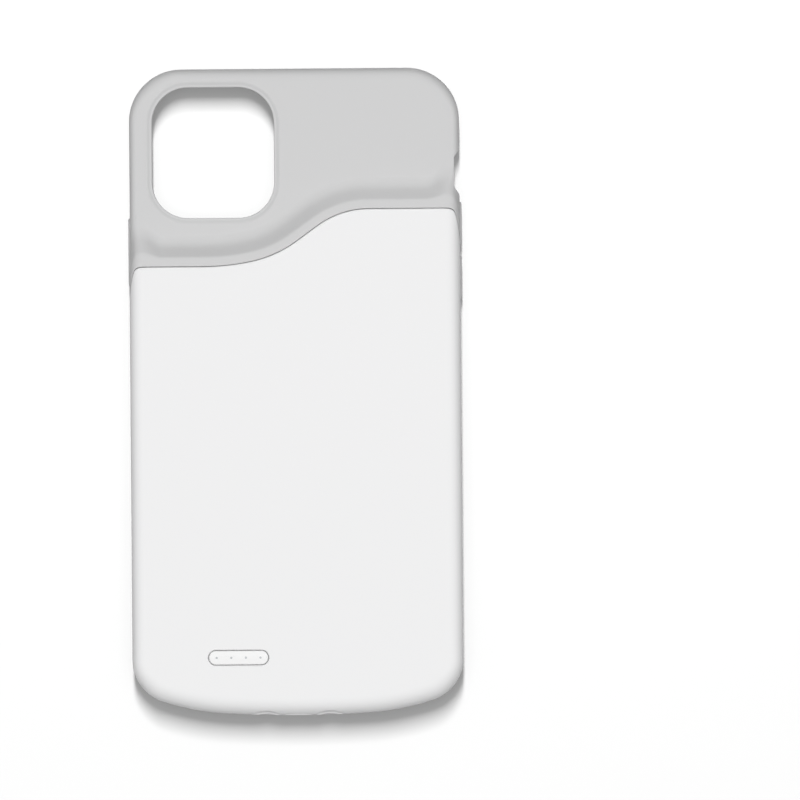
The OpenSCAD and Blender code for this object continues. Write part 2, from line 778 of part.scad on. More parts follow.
module cell_tabs() {
    color("#C9C4B4")
        for (x = [-1, 1])
            block([x * tab_pitch / 2 - tab_w / 2, cell_low_y - tab_l, board_top_z],
                  [x * tab_pitch / 2 + tab_w / 2, cell_low_y, board_top_z + tab_t]);
}

module protection_board() {
    color("#2F6B46")
        block([-guard_w / 2, guard_low_y, board_z], [guard_w / 2, guard_top_y, board_top_z]);
}

// A wire that lies on both boards
module lead(x) {
    translate([x, guard_low_y + lead_lap, board_top_z + lead_d / 2 + seat_gap])
        rotate([90, 0, 0])
            cylinder(h = board_gap + 2 * lead_lap, d = lead_d);
}

module lead_red() {
    color("#B3261E") lead(lead_pitch / 2);
}

module lead_black() {
    color("#202020") lead(-lead_pitch / 2);
}

module main_board() {
    color("#2F6B46")
        difference() {
            rounded_plate(0, (board_low_y + board_high_y) / 2, board_w, board_l, screw_hole_d / 2,
                          board_z, board_top_z);
            block([-port_w / 2 - slide_gap, board_low_y - overrun, board_z - overrun],
                  [port_w / 2 + slide_gap, port_mouth_y + port_l + slide_gap, board_top_z + overrun]);
            at_screws()
                translate([0, 0, board_z - overrun])
                    cylinder(h = board_t + 2 * overrun, d = screw_hole_d);
        }
}

module board_screws() {
    color("#8E9297")
        at_screws() {
            translate([0, 0, board_z - screw_bite])
                cylinder(h = screw_bite + board_t + screw_head_t / 2, d = screw_d);
            translate([0, 0, board_top_z])
                cylinder(h = screw_head_t, d = screw_head_d);
        }
}

// A square part on the main board, from its middle
module on_board(x, y, w, l, t) {
    block([x - w / 2, y - l / 2, board_top_z], [x + w / 2, y + l / 2, board_top_z + t]);
}

module charger_chip() {
    color("#26282B") on_board(board_w / 4, chip_row_y, charger_side, charger_side, chip_t);
}

module controller_chip() {
    color("#26282B") on_board(-board_w / 4, chip_row_y, controller_side, controller_side, chip_t);
}

module boost_inductor() {
    plate_t = inductor_t / 4;
    color("#4A4D50") {
        on_board(board_w / 4, button_y, inductor_side, inductor_side, plate_t);
        translate([board_w / 4, button_y, board_top_z + plate_t])
            cylinder(h = inductor_t - 2 * plate_t, d = inductor_core_d);
        translate([0, 0, inductor_t - plate_t])
            on_board(board_w / 4, button_y, inductor_side, inductor_side, plate_t);
    }
}

module capacitors() {
    color("#B89468")
        for (i = [0:capacitor_count - 1])
            on_board((i - (capacitor_count - 1) / 2) * capacitor_pitch, chip_row_y,
                     capacitor_w, capacitor_l, capacitor_w);
}

// Where each light dot lies across the case
function dot_x(i) = -button_x + (i - (dot_count - 1) / 2) * dot_pitch;

module status_leds() {
    color("#F4F1DC")
        for (i = [0:dot_count - 1])
            on_board(dot_x(i), button_y, led_l, led_w, led_t);
}

module light_guide() {
    color("#DDE6EA") {
        rounded_plate(-button_x, button_y, button_l - guide_w, guide_w, guide_w / 2, guide_z, flange_z);
        for (i = [0:dot_count - 1])
            translate([dot_x(i), button_y, guide_z])
                cylinder(h = case_t + button_proud - guide_z - seat_gap, d = dot_d);
    }
}

module switch_body() {
    color("#9DA1A6")
        difference() {
            on_board(-button_x, switch_y, switch_l, switch_w, switch_t);
            translate([-button_x, switch_y, switch_top_z - plunger_sunk - button_travel - slide_gap])
                cylinder(h = switch_t, d = plunger_d + 2 * slide_gap);
        }
}

module switch_plunger() {
    color("#303236")
        translate([-button_x, switch_y, switch_top_z - plunger_sunk])
            cylinder(h = flange_z - seat_gap - switch_top_z + plunger_sunk, d = plunger_d);
}

module status_button() {
    color("#FAFAFA")
        difference() {
            union() {
                rounded_plate(-button_x, button_y, button_l - 2 * slide_gap, button_w - 2 * slide_gap,
                              button_w / 2 - slide_gap, flange_z, case_t + button_proud);
                rounded_plate(-button_x, button_y, button_l + 2 * flange_reach, button_w + 2 * flange_reach,
                              button_w / 2 + flange_reach, flange_z, flange_z + flange_t);
                block([-button_x - switch_w / 2, button_y, flange_z],
                      [-button_x + switch_w / 2, switch_y + plunger_d / 2, flange_z + flange_t]);
            }
            for (i = [0:dot_count - 1])
                translate([dot_x(i), button_y, flange_z - overrun])
                    cylinder(h = case_t, d = dot_d + 2 * seat_gap);
        }
}

module charge_port_shell() {
    inner_w = port_w - 2 * port_wall_t;
    inner_h = port_h - 2 * port_wall_t;
    color("#A9ADB1")
        difference() {
            rounded_bar_y(0, port_z, port_w, port_h, port_h / 3, port_mouth_y, port_mouth_y + port_l);
            rounded_bar_y(0, port_z, inner_w, inner_h, inner_h / 3,
                          port_mouth_y - overrun, port_mouth_y + port_l - port_wall_t);
        }
}

module charge_port_tongue() {
    color("#1E1F21")
        rounded_bar_y(0, port_z, port_w - 4 * port_wall_t - port_tongue_t, port_tongue_t, port_tongue_t / 4,
                      port_mouth_y + port_tongue_t, port_mouth_y + port_l - port_wall_t);
}

module phone_plug_base() {
    color("#C7C7C7")
        block([-plug_base_w / 2, plug_base_y, phone_mid_z - plug_base_h / 2],
              [plug_base_w / 2, pocket_low_y, phone_mid_z + plug_base_h / 2]);
}

module phone_plug_blade() {
    color("#D9DADB")
        rounded_bar_y(0, phone_mid_z, blade_w, blade_t, blade_t / 2 - seat_gap, pocket_low_y,
                      pocket_low_y + blade_l);
}

module plug_contacts() {
    pitch = (blade_w - blade_t) / contact_count;
    color("#D4AF5A")
        for (side = [-1, 1], i = [0:contact_count - 1])
            translate([(i - (contact_count - 1) / 2) * pitch, pocket_low_y + blade_l - contact_l,
                       phone_mid_z + side * (blade_t + contact_t) / 2])
                cube([contact_w, contact_l, contact_t], center = true);
}

module plug_flex() {
    lie_z = tray_z + seat_gap;
    color("#B5762A") {
        block([-flex_w / 2, flex_y - flex_t / 2, phone_mid_z + plug_base_h / 2],
              [flex_w / 2, flex_y + flex_t / 2, lie_z + flex_t]);
        block([-flex_w / 2, flex_y - flex_t / 2, lie_z], [flex_w / 2, flex_end_y, lie_z + flex_t]);
        block([-flex_w / 2, flex_end_y - flex_t, lie_z], [flex_w / 2, flex_end_y, board_z]);
    }
}

module volume_up_key() {
    color("#CBCBCB") at_volume_side(volume_up_y) side_key(volume_up_l);
}

module volume_down_key() {
    color("#CBCBCB") at_volume_side(volume_down_y) side_key(volume_down_l);
}

module power_key() {
    color("#CBCBCB") at_power_side(power_y) side_key(power_l);
}

bumper_frame();
back_cover();
inner_tray();
cell_tape();
battery_cell();
cell_tabs();
protection_board();
lead_red();
lead_black();
main_board();
board_screws();
charger_chip();
controller_chip();
boost_inductor();
capacitors();
status_leds();
light_guide();
switch_body();
switch_plunger();
status_button();
charge_port_shell();
charge_port_tongue();
phone_plug_base();
phone_plug_blade();
plug_contacts();
plug_flex();
volume_up_key();
volume_down_key();
power_key();
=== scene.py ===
"""Looks of a battery charging case for a large phone, lying face down with its back to the camera.

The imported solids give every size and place. Each sub-assembly below is a class that takes its places from
them, builds its finer meshes in metres and gives them their finishes.
"""

import logging
import math
from collections.abc import Callable, Iterable, Sequence
from dataclasses import dataclass, field
from enum import Enum

import bmesh
import bpy
from mathutils import Matrix, Vector


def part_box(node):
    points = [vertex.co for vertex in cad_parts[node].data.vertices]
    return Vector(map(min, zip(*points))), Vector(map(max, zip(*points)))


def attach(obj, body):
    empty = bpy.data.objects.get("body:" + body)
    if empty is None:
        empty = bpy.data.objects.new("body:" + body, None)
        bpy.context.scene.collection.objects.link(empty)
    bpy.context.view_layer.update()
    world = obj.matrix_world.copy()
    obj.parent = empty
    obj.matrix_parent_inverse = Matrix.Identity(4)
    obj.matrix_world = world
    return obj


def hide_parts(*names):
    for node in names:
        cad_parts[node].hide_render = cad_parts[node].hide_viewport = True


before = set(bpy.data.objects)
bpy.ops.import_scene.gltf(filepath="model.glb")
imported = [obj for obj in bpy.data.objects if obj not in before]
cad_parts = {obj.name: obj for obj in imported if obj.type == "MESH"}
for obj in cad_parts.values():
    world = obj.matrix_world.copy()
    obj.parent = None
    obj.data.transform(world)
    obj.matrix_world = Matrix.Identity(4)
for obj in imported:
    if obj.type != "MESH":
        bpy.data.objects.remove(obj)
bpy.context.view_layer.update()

LOG = logging.getLogger("battery_case")

MM = 0.001
# Points closer than this are the same point
WELD = 1e-6
# Edges turned more than this stay sharp to the eye
SHARP_ANGLE = math.radians(38)
# Width of the border inside a wide flat field
FLAT_BORDER = 0.08 * MM
# The photograph's frame, in pixels, and what a millimetre of the case measures in it
PHOTO_PX = 800
PHOTO_PX_PER_MM = 3.95


class Body(Enum):
    """The moving bodies that a piece can ride on."""

    CASE = "case"
    BUTTON = "button"
    VOLUME_UP = "volume_up"
    VOLUME_DOWN = "volume_down"
    POWER = "power"


class Texture(Enum):
    """How a finish breaks up its surface."""

    MOULDED = "fine spark-eroded grain"
    BRUSHED = "fine scratches along the length"
    CREPED = "small folds, as on foil and tape"
    BOARD = "copper tracks under the solder mask"


@dataclass(frozen=True)
class Finish:
    """One material: its colour, shine and fine texture.

    Args:
        slot: the record's material slot.
        colour: linear base colour.
        rough: roughness of the shine.
        texture: how the surface is broken up.
        grain: size of one grain of the texture, in metres.
        bump: height of the texture, in metres.
        tint: how much the colour varies, as a share of the colour.
        metal: 1 for bare metal, 0 for the rest.
        clear: share of light that passes through.
        coat: strength of a thin clear skin.
        gloss: strength of the surface's own reflection.
    """

    slot: str
    colour: tuple[float, float, float]
    rough: float
    texture: Texture = Texture.MOULDED
    grain: float = 0.12 * MM
    bump: float = 0.004 * MM
    tint: float = 0.02
    metal: float = 0.0
    clear: float = 0.0
    coat: float = 0.0
    gloss: float = 0.5

    def material(self) -> bpy.types.Material:
        """Builds the node material.

        Returns:
            The material, named after its slot.
        """
        made = bpy.data.materials.new(self.slot)
        made.use_nodes = True
        tree = made.node_tree
        shader = tree.nodes["Principled BSDF"]
        shader.inputs["Metallic"].default_value = self.metal
        shader.inputs["Transmission Weight"].default_value = self.clear
        shader.inputs["Coat Weight"].default_value = self.coat
        shader.inputs["Specular IOR Level"].default_value = self.gloss
        made.diffuse_color = (*self.colour, 1.0)
        height = self._height(tree)
        self._link_colour(tree, shader, height)
        self._link_rough(tree, shader, height)
        bump = tree.nodes.new("ShaderNodeBump")
        bump.inputs["Strength"].default_value = 1.0
        bump.inputs["Distance"].default_value = self.bump
        tree.links.new(height, bump.inputs["Height"])
        tree.links.new(bump.outputs["Normal"], shader.inputs["Normal"])
        return made

    def _height(self, tree: bpy.types.NodeTree) -> bpy.types.NodeSocket:
        """Builds the pattern that drives bump, colour and shine.

        Args:
            tree: the material's nodes.

        Returns:
            The pattern's output, from 0 to 1.
        """
        place = tree.nodes.new("ShaderNodeTexCoord")
        turn = tree.nodes.new("ShaderNodeMapping")
        tree.links.new(place.outputs["Object"], turn.inputs["Vector"])
        if self.texture is Texture.BOARD:
            pattern = tree.nodes.new("ShaderNodeTexBrick")
            pattern.inputs["Color1"].default_value = (0.3, 0.3, 0.3, 1.0)
            pattern.inputs["Color2"].default_value = (0.5, 0.5, 0.5, 1.0)
            pattern.inputs["Mortar"].default_value = (1.0, 1.0, 1.0, 1.0)
            pattern.inputs["Scale"].default_value = 1.0 / self.grain
            pattern.inputs["Mortar Size"].default_value = 0.06
            tree.links.new(turn.outputs["Vector"], pattern.inputs["Vector"])
            return pattern.outputs["Fac"]
        pattern = tree.nodes.new("ShaderNodeTexNoise")
        pattern.inputs["Scale"].default_value = 1.0 / self.grain
        pattern.inputs["Detail"].default_value = 3.0
        if self.texture is Texture.BRUSHED:
            turn.inputs["Scale"].default_value = (1.0, 0.04, 1.0)
        if self.texture is Texture.CREPED:
            pattern.inputs["Distortion"].default_value = 1.2
        tree.links.new(turn.outputs["Vector"], pattern.inputs["Vector"])
        return pattern.outputs["Fac"]

    def _link_colour(self, tree: bpy.types.NodeTree, shader: bpy.types.Node,
                     height: bpy.types.NodeSocket) -> None:
        """Lets the colour vary a little with the pattern.

        Args:
            tree: the material's nodes.
            shader: the shader that takes the colour.
            height: the pattern.
        """
        ramp = tree.nodes.new("ShaderNodeValToRGB")
        low, high = ramp.color_ramp.elements
        low.position, high.position = 0.3, 0.7
        low.color = (*(c * (1.0 - self.tint) for c in self.colour), 1.0)
        high.color = (*(min(1.0, c * (1.0 + self.tint)) for c in self.colour), 1.0)
        tree.links.new(height, ramp.inputs["Fac"])
        tree.links.new(ramp.outputs["Color"], shader.inputs["Base Color"])

    def _link_rough(self, tree: bpy.types.NodeTree, shader: bpy.types.Node,
                    height: bpy.types.NodeSocket) -> None:
        """Lets the shine vary a little with the pattern.

        Args:
            tree: the material's nodes.
            shader: the shader that takes the roughness.
            height: the pattern.
        """
        spread = tree.nodes.new("ShaderNodeMapRange")
        spread.inputs["To Min"].default_value = max(0.02, self.rough - 0.04)
        spread.inputs["To Max"].default_value = min(1.0, self.rough + 0.04)
        tree.links.new(height, spread.inputs["Value"])
        tree.links.new(spread.outputs["Result"], shader.inputs["Roughness"])


SOFT_GREY = Finish("grey_soft", (0.605, 0.605, 0.607), 0.5, gloss=0.15)
SATIN_WHITE = Finish("white_satin", (0.835, 0.835, 0.838), 0.4, bump=0.0015 * MM, tint=0.006, gloss=0.15)
BUTTON_WHITE = Finish("button_white", (0.85, 0.85, 0.85), 0.3, bump=0.001 * MM, tint=0.004)
TRAY_GREY = Finish("tray_grey", (0.5, 0.5, 0.5), 0.6, grain=0.2 * MM, bump=0.008 * MM)
TAPE = Finish("tape", (0.8, 0.72, 0.5), 0.7, Texture.CREPED, grain=0.6 * MM, bump=0.02 * MM)
POUCH = Finish("pouch", (0.62, 0.64, 0.66), 0.38, Texture.CREPED, grain=3 * MM, bump=0.05 * MM, metal=0.9)
NICKEL = Finish("nickel", (0.66, 0.64, 0.58), 0.3, Texture.BRUSHED, metal=1.0)
BOARD_GREEN = Finish("board_green", (0.04, 0.2, 0.09), 0.4, Texture.BOARD, grain=1.4 * MM, bump=0.02 * MM,
                     tint=0.25, coat=0.4)
WIRE_RED = Finish("wire_red", (0.5, 0.03, 0.02), 0.45)
WIRE_BLACK = Finish("wire_black", (0.02, 0.02, 0.02), 0.45)
SCREW_STEEL = Finish("screw_steel", (0.5, 0.51, 0.52), 0.3, Texture.BRUSHED, metal=1.0)
CHIP_BLACK = Finish("chip_black", (0.02, 0.02, 0.022), 0.55)
FERRITE = Finish("ferrite", (0.1, 0.1, 0.11), 0.7, grain=0.15 * MM, bump=0.02 * MM, tint=0.15)
CERAMIC = Finish("ceramic", (0.48, 0.36, 0.22), 0.45)
LAMP_WHITE = Finish("lamp_white", (0.85, 0.84, 0.7), 0.2, clear=0.3)
GUIDE_CLEAR = Finish("guide_clear", (0.7, 0.73, 0.75), 0.25, bump=0.001 * MM, clear=0.35)
SWITCH_STEEL = Finish("switch_steel", (0.55, 0.56, 0.57), 0.35, Texture.BRUSHED, metal=1.0)
PORT_STEEL = Finish("port_steel", (0.6, 0.61, 0.62), 0.28, Texture.BRUSHED, metal=1.0)
GOLD = Finish("gold", (0.75, 0.55, 0.22), 0.25, Texture.BRUSHED, metal=1.0)
FLEX_AMBER = Finish("flex_amber", (0.5, 0.22, 0.04), 0.35, Texture.CREPED, grain=1 * MM, coat=0.5)

# The finish of each solid that is shown as it is
SOLID_FINISHES = {
    "inner_tray": TRAY_GREY,
    "cell_tape": TAPE,
    "battery_cell": POUCH,
    "cell_tabs": NICKEL,
    "protection_board": BOARD_GREEN,
    "lead_red": WIRE_RED,
    "lead_black": WIRE_BLACK,
    "main_board": BOARD_GREEN,
    "board_screws": SCREW_STEEL,
    "charger_chip": CHIP_BLACK,
    "controller_chip": CHIP_BLACK,
    "boost_inductor": FERRITE,
    "capacitors": CERAMIC,
    "status_leds": LAMP_WHITE,
    "light_guide": GUIDE_CLEAR,
    "switch_body": SWITCH_STEEL,
    "switch_plunger": CHIP_BLACK,
    "charge_port_shell": PORT_STEEL,
    "charge_port_tongue": CHIP_BLACK,
    "phone_plug_base": TRAY_GREY,
    "phone_plug_blade": PORT_STEEL,
    "plug_contacts": GOLD,
    "plug_flex": FLEX_AMBER,
}

_MATERIALS: dict[str, bpy.types.Material] = {}


def dress(piece: bpy.types.Object, finish: Finish) -> None:
    """Gives a piece one finish in all its slots.

    Args:
        piece: the object to dress.
        finish: its finish.
    """
    if finish.slot not in _MATERIALS:
        _MATERIALS[finish.slot] = finish.material()
    if not piece.data.materials:
        piece.data.materials.append(None)
    for index in range(len(piece.data.materials)):
        piece.data.materials[index] = _MATERIALS[finish.slot]


def smooth(share: float) -> float:
    """An S-curve from 0 to 1, level at both ends."""
    share = min(1.0, max(0.0, share))
    return share * share * (3.0 - 2.0 * share)


def spread(start: float, end: float, steps: int) -> list[float]:
    """Evenly spaced values from start to end.

    Args:
        start: the first value.
        end: the last value.
        steps: how many steps lie between them.

    Returns:
        steps + 1 values.
    """
    return [start + (end - start) * i / steps for i in range(steps + 1)]


@dataclass(frozen=True)
class Station:
    """A place on the outline of the case, with the outward direction there."""

    x: float
    y: float
    out_x: float
    out_y: float

    def inset(self, depth: float, z: float) -> Vector:
        """The point a distance in from the outline, at a height."""
        return Vector((self.x - self.out_x * depth, self.y - self.out_y * depth, z))


def arc(x: float, y: float, r: float, start: float, end: float, steps: int) -> list[Station]:
    """Stations along an arc that bulges outwards.

    Args:
        x: the centre's place across the case.
        y: the centre's place along the case.
        r: the radius.
        start: the first angle, in degrees.
        end: the last angle, in degrees.
        steps: how many steps lie between them.

    Returns:
        steps + 1 stations.
    """
    angles = [math.radians(a) for a in spread(start, end, steps)]
    return [Station(x + r * math.cos(a), y + r * math.sin(a), math.cos(a), math.sin(a)) for a in angles]


@dataclass(frozen=True)
class CaseOutline:
    """The case seen from its back: straight sides, round top corners and a bowed bottom edge."""

    half_w: float
    half_l: float
    top_r: float = 13.3 * MM
    low_r: float = 11.0 * MM
    shoulder_r: float = 66.0 * MM
    bow_r: float = 290.0 * MM
    bow_half: float = 18.0 * MM
    corner_steps: int = 20
    shoulder_steps: int = 12
    bow_steps: int = 14

    @property
    def side_top(self) -> float:
        """Where the straight sides end at the top."""
        return self.half_l - self.top_r

    @property
    def bow_angle(self) -> float:
        """Half the angle that the bowed edge spans, in degrees."""
        return math.degrees(math.asin(self.bow_half / self.bow_r))

    @property
    def shoulder(self) -> tuple[float, float]:
        """Centre of the shoulder's arc on the +X side."""
        reach = self.bow_r - self.shoulder_r
        angle = math.radians(self.bow_angle)
        return reach * math.sin(angle), self.bow_r - self.half_l - reach * math.cos(angle)

    @property
    def low_corner(self) -> tuple[float, float, float]:
        """Centre of the bottom corner's arc on the +X side, and the angle that it spans, in degrees."""
        x = self.half_w - self.low_r
        run = x - self.shoulder[0]
        rise = math.sqrt((self.shoulder_r - self.low_r) ** 2 - run ** 2)
        return x, self.shoulder[1] - rise, math.degrees(math.atan2(rise, run))

    def top_run(self) -> list[Station]:
        """Stations over the top, from the end of the +X side to the end of the -X side."""
        x = self.half_w - self.top_r
        edge = [Station(across, self.half_l, 0.0, 1.0) for across in spread(x, -x, self.bow_steps)]
        right = arc(x, self.side_top, self.top_r, 0, 90, self.corner_steps)
        left = arc(-x, self.side_top, self.top_r, 90, 180, self.corner_steps)
        return right + edge[1:-1] + left

    def low_run(self) -> list[Station]:
        """Stations round the bottom, from the end of the -X side to the end of the +X side."""
        x, y, span = self.low_corner
        sx, sy = self.shoulder
        bow = self.bow_angle
        return (
            arc(-x, y, self.low_r, 180, 180 + span, self.corner_steps)
            + arc(-sx, sy, self.shoulder_r, 180 + span, 270 - bow, self.shoulder_steps)[1:]
            + arc(0, self.bow_r - self.half_l, self.bow_r, 270 - bow, 270 + bow, self.bow_steps)[1:]
            + arc(sx, sy, self.shoulder_r, 270 + bow, 360 - span, self.shoulder_steps)[1:]
            + arc(x, y, self.low_r, 360 - span, 360, self.corner_steps)[1:]
        )

    def side(self, sign: int, heights: Iterable[float]) -> list[Station]:
        """Stations on a straight side.

        Args:
            sign: 1 for the +X side, -1 for the -X side.
            heights: their places along the case.

        Returns:
            One station for each place.
        """
        return [Station(sign * self.half_w, y, sign, 0.0) for y in heights]

    def loop(self, side_steps: int = 40) -> list[Station]:
        """The whole outline, anticlockwise from the foot of the +X side."""
        heights = spread(self.low_corner[1], self.side_top, side_steps)[1:-1]
        return self.side(1, heights) + self.top_run() + self.side(-1, reversed(heights)) + self.low_run()


@dataclass(frozen=True)
class SeamPath:
    """The S-shaped seam between frame and cover, from the -X side to the +X side."""

    low_y: float = 31.7 * MM
    climb_from_x: float = 23.0 * MM
    wide_r: float = 60.0 * MM
    wide_angle: float = 11.5
    tight_r: float = 30.0 * MM
    climb_angle: float = 36.0
    climb_l: float = 6.5 * MM
    crest_r: float = 22.0 * MM
    bend_steps: int = 9

    def stations(self, left_x: float, right_x: float) -> list[Station]:
        """The seam's points, each with the direction towards the camera window.

        Args:
            left_x: where the path starts.
            right_x: where it ends.

        Returns:
            The stations from left to right.
        """
        level = [Station(x, self.low_y, 0.0, 1.0) for x in spread(left_x, -self.climb_from_x, 6)]
        y = self.low_y + self.wide_r
        wide = arc(-self.climb_from_x, y, self.wide_r, 270, 270 + self.wide_angle, self.bend_steps)
        last = wide[-1]
        wide = [Station(s.x, s.y, -s.out_x, -s.out_y) for s in wide]
        turn = self.tight_r
        tight = arc(last.x - turn * last.out_x, last.y - turn * last.out_y, turn,
                    270 + self.wide_angle, 270 + self.climb_angle, self.bend_steps)
        tight = [Station(s.x, s.y, -s.out_x, -s.out_y) for s in tight]
        foot = tight[-1]
        lean = math.radians(self.climb_angle)
        head_x = foot.x + self.climb_l * math.cos(lean)
        head_y = foot.y + self.climb_l * math.sin(lean)
        climb = [Station(foot.x + (head_x - foot.x) * t, foot.y + (head_y - foot.y) * t, foot.out_x, foot.out_y)
                 for t in spread(0, 1, 4)]
        crest_x = head_x + self.crest_r * math.sin(lean)
        crest_y = head_y - self.crest_r * math.cos(lean)
        crest = arc(crest_x, crest_y, self.crest_r, 90 + self.climb_angle, 90, self.bend_steps + 3)
        top = [Station(x, crest[-1].y, 0.0, 1.0) for x in spread(crest_x, right_x, 6)]
        return level + wide[1:] + tight[1:] + climb[1:] + crest[1:] + top[1:]

    @property
    def high_y(self) -> float:
        """Where the seam runs level again at the +X side."""
        return self.stations(-self.climb_from_x * 2, self.climb_from_x * 2)[-1].y


@dataclass(frozen=True)
class Lane:
    """One line of points across the case that follows the seam.

    Args:
        off: distance from the seam towards the window, negative in the cover.
        side_off: the same distance where the line meets the sides.
        corner_r: radius with which it turns down at the sides, or 0.
        top: height of the surface there.
        width: how far the rounding of the sides reaches in.
        height: how far the rounding of the sides reaches down.
        sink: how far an edge's rounding has lowered the line.
        slant: how far the line runs down beside the cover before it reaches the wall.
    """

    off: float
    side_off: float
    corner_r: float
    top: float
    width: float
    height: float
    sink: float = 0.0
    slant: float = 0.0


@dataclass(frozen=True)
class SeamGrid:
    """A grid over the back of the case whose lanes follow the seam and wrap round both sides."""

    outline: CaseOutline
    seam: SeamPath
    base_z: float
    corner_r: float = 3.5 * MM
    slant_w: float = 1.7 * MM
    curl_w: float = 8.5 * MM
    round_steps: int = 12
    curl_steps: int = 9

    def _round_point(self, lane: Lane, sign: int, step: int) -> Vector:
        """A point on the rounding of a side.

        Args:
            lane: the lane that it lies on.
            sign: 1 for the +X side, -1 for the -X side.
            step: how far up the rounding it is, from 0 at the wall's top, or -1 at its foot.

        Returns:
            The point.
        """
        angle = max(0.0, math.pi / 2 * step / self.round_steps)
        depth = lane.width * (1.0 - math.cos(angle))
        level = self.seam.low_y if sign < 0 else self.seam.high_y
        y = level + lane.side_off
        short = self.corner_r - depth
        if lane.corner_r > 0 and short > 0:
            y -= lane.corner_r - math.sqrt(max(0.0, lane.corner_r ** 2 - short ** 2))
        y -= lane.slant * max(0.0, 1.0 - depth / self.slant_w) ** 2
        top = lane.top - lane.sink
        z = self.base_z if step < 0 else top - lane.height * (1.0 - math.sin(angle))
        return Vector((sign * (self.outline.half_w - depth), y, z))

    def lane_points(self, lane: Lane) -> list[Vector]:
        """All points of one lane, from the -X wall to the +X wall."""
        half = self.outline.half_w
        left = [self._round_point(lane, -1, k) for k in range(-1, self.round_steps + 1)]
        right = [self._round_point(lane, 1, k) for k in range(self.round_steps, -2, -1)]
        path = self.seam.stations(-half + self.curl_w, half - self.curl_w)
        z = lane.top - lane.sink
        middle = [Vector((s.x + s.out_x * lane.off, s.y + s.out_y * lane.off, z)) for s in path]
        curls = []
        for start, end in ((left[-1], middle[0]), (right[0], middle[-1])):
            curls.append([
                Vector((start.x + (end.x - start.x) * t, start.y + (end.y - start.y) * smooth(t), z))
                for t in spread(0, 1, self.curl_steps)[1:-1]
            ])
        return left + curls[0] + middle + list(reversed(curls[1])) + right

    def build(self, mesh: bmesh.types.BMesh, lanes: Sequence[Lane]) -> list[list[bmesh.types.BMVert]]:
        """Lays a grid through the lanes.

        Args:
            mesh: the mesh that takes the grid.
            lanes: the lanes, in order along the case.

        Returns:
            The grid's vertices, one list for each lane.
        """
        rows = [self.lane_points(lane) for lane in lanes]
        across = len(rows[0]) - 1
        along = len(rows) - 1
        made = bmesh.ops.create_grid(mesh, x_segments=across, y_segments=along, size=1.0)["verts"]
        table: list[list[bmesh.types.BMVert]] = [[None] * (across + 1) for _ in rows]
        for vert in made:
            column = round((vert.co.x + 1.0) / 2.0 * across)
            row = round((vert.co.y + 1.0) / 2.0 * along)
            table[row][column] = vert
        for row, line in enumerate(table):
            for column, vert in enumerate(line):
                vert.co = rows[row][column]
        return table


def add_band(mesh: bmesh.types.BMesh, rings: Sequence[Sequence[Vector]], closed: bool) -> None:
    """Adds a band of faces through rings of points, by extruding the first ring to each next one.

    Args:
        mesh: the mesh that takes the band.
        rings: the rings, with the same number of points in each.
        closed: True where each ring ends where it starts.
    """
    verts = [mesh.verts.new(point) for point in rings[0]]
    pairs = list(zip(verts, verts[1:]))
    if closed:
        pairs.append((verts[-1], verts[0]))
    edges = [mesh.edges.new(pair) for pair in pairs]
    for ring in rings[1:]:
        made = bmesh.ops.extrude_edge_only(mesh, edges=edges)["geom"]
        fresh = {item for item in made if isinstance(item, bmesh.types.BMVert)}
        edges = [item for item in made
                 if isinstance(item, bmesh.types.BMEdge) and all(vert in fresh for vert in item.verts)]
        following = []
        for vert, point in zip(verts, ring):
            new = next(edge.other_vert(vert) for edge in vert.link_edges if edge.other_vert(vert) in fresh)
            new.co = point
            following.append(new)
        verts = following


def fill_rim(mesh: bmesh.types.BMesh, inside: Callable[[Vector], bool]) -> None:
    """Fills a flat opening, with any hole in it, from the open edges that pass a test.

    Args:
        mesh: the mesh with the opening.
        inside: says whether a point lies on the opening's rim.
    """
    edges = [e for e in mesh.edges if e.is_boundary and all(inside(v.co) for v in e.verts)]
    bmesh.ops.triangle_fill(mesh, edges=edges, use_beauty=True)


def weld(mesh: bmesh.types.BMesh) -> None:
    """Merges doubled points, removes what collapsed and turns the faces outwards."""
    bmesh.ops.remove_doubles(mesh, verts=mesh.verts, dist=WELD)
    bmesh.ops.dissolve_degenerate(mesh, edges=mesh.edges, dist=WELD)
    bmesh.ops.recalc_face_normals(mesh, faces=mesh.faces)


def to_object(mesh: bmesh.types.BMesh, name: str) -> bpy.types.Object:
    """Turns a bmesh into an object at the origin.

    Args:
        mesh: the mesh, which is freed.
        name: the object's name.

    Returns:
        The object, linked to the scene.
    """
    data = bpy.data.meshes.new(name)
    mesh.to_mesh(data)
    open_edges = sum(1 for edge in mesh.edges if not edge.is_manifold)
    if open_edges:
        LOG.warning("%s has %d open edges", name, open_edges)
    mesh.free()
    made = bpy.data.objects.new(name, data)
    bpy.context.scene.collection.objects.link(made)
    return made


def flat_faces(mesh: bmesh.types.BMesh, z: float) -> list[bmesh.types.BMFace]:
    """The faces that lie at a height and look up."""
    return [f for f in mesh.faces if f.normal.z > -0.5 and all(abs(v.co.z - z) < WELD for v in f.verts)]


def finish_mesh(piece: bpy.types.Object, flat_z: float | None = None) -> None:
    """Shades a piece smoothly, but for its sharp edges.

    Args:
        piece: the piece.
        flat_z: the height of its wide flat field, which gets a narrow border so that its shading stays even.
    """
    if flat_z is not None:
        mesh = bmesh.new()
        mesh.from_mesh(piece.data)
        bmesh.ops.delete(mesh, geom=flat_faces(mesh, flat_z), context="FACES")
        fill_rim(mesh, lambda p: abs(p.z - flat_z) < WELD)
        weld(mesh)
        field = flat_faces(mesh, flat_z)
        bmesh.ops.inset_region(mesh, faces=field, thickness=FLAT_BORDER, use_even_offset=True,
                               use_boundary=True)
        mesh.to_mesh(piece.data)
        mesh.free()
    piece.data.shade_smooth()
    piece.data.set_sharp_from_angle(angle=SHARP_ANGLE)


class Cut(Enum):
    """What a tool solid does to the piece."""

    REMOVE = "DIFFERENCE"
    ADD = "UNION"


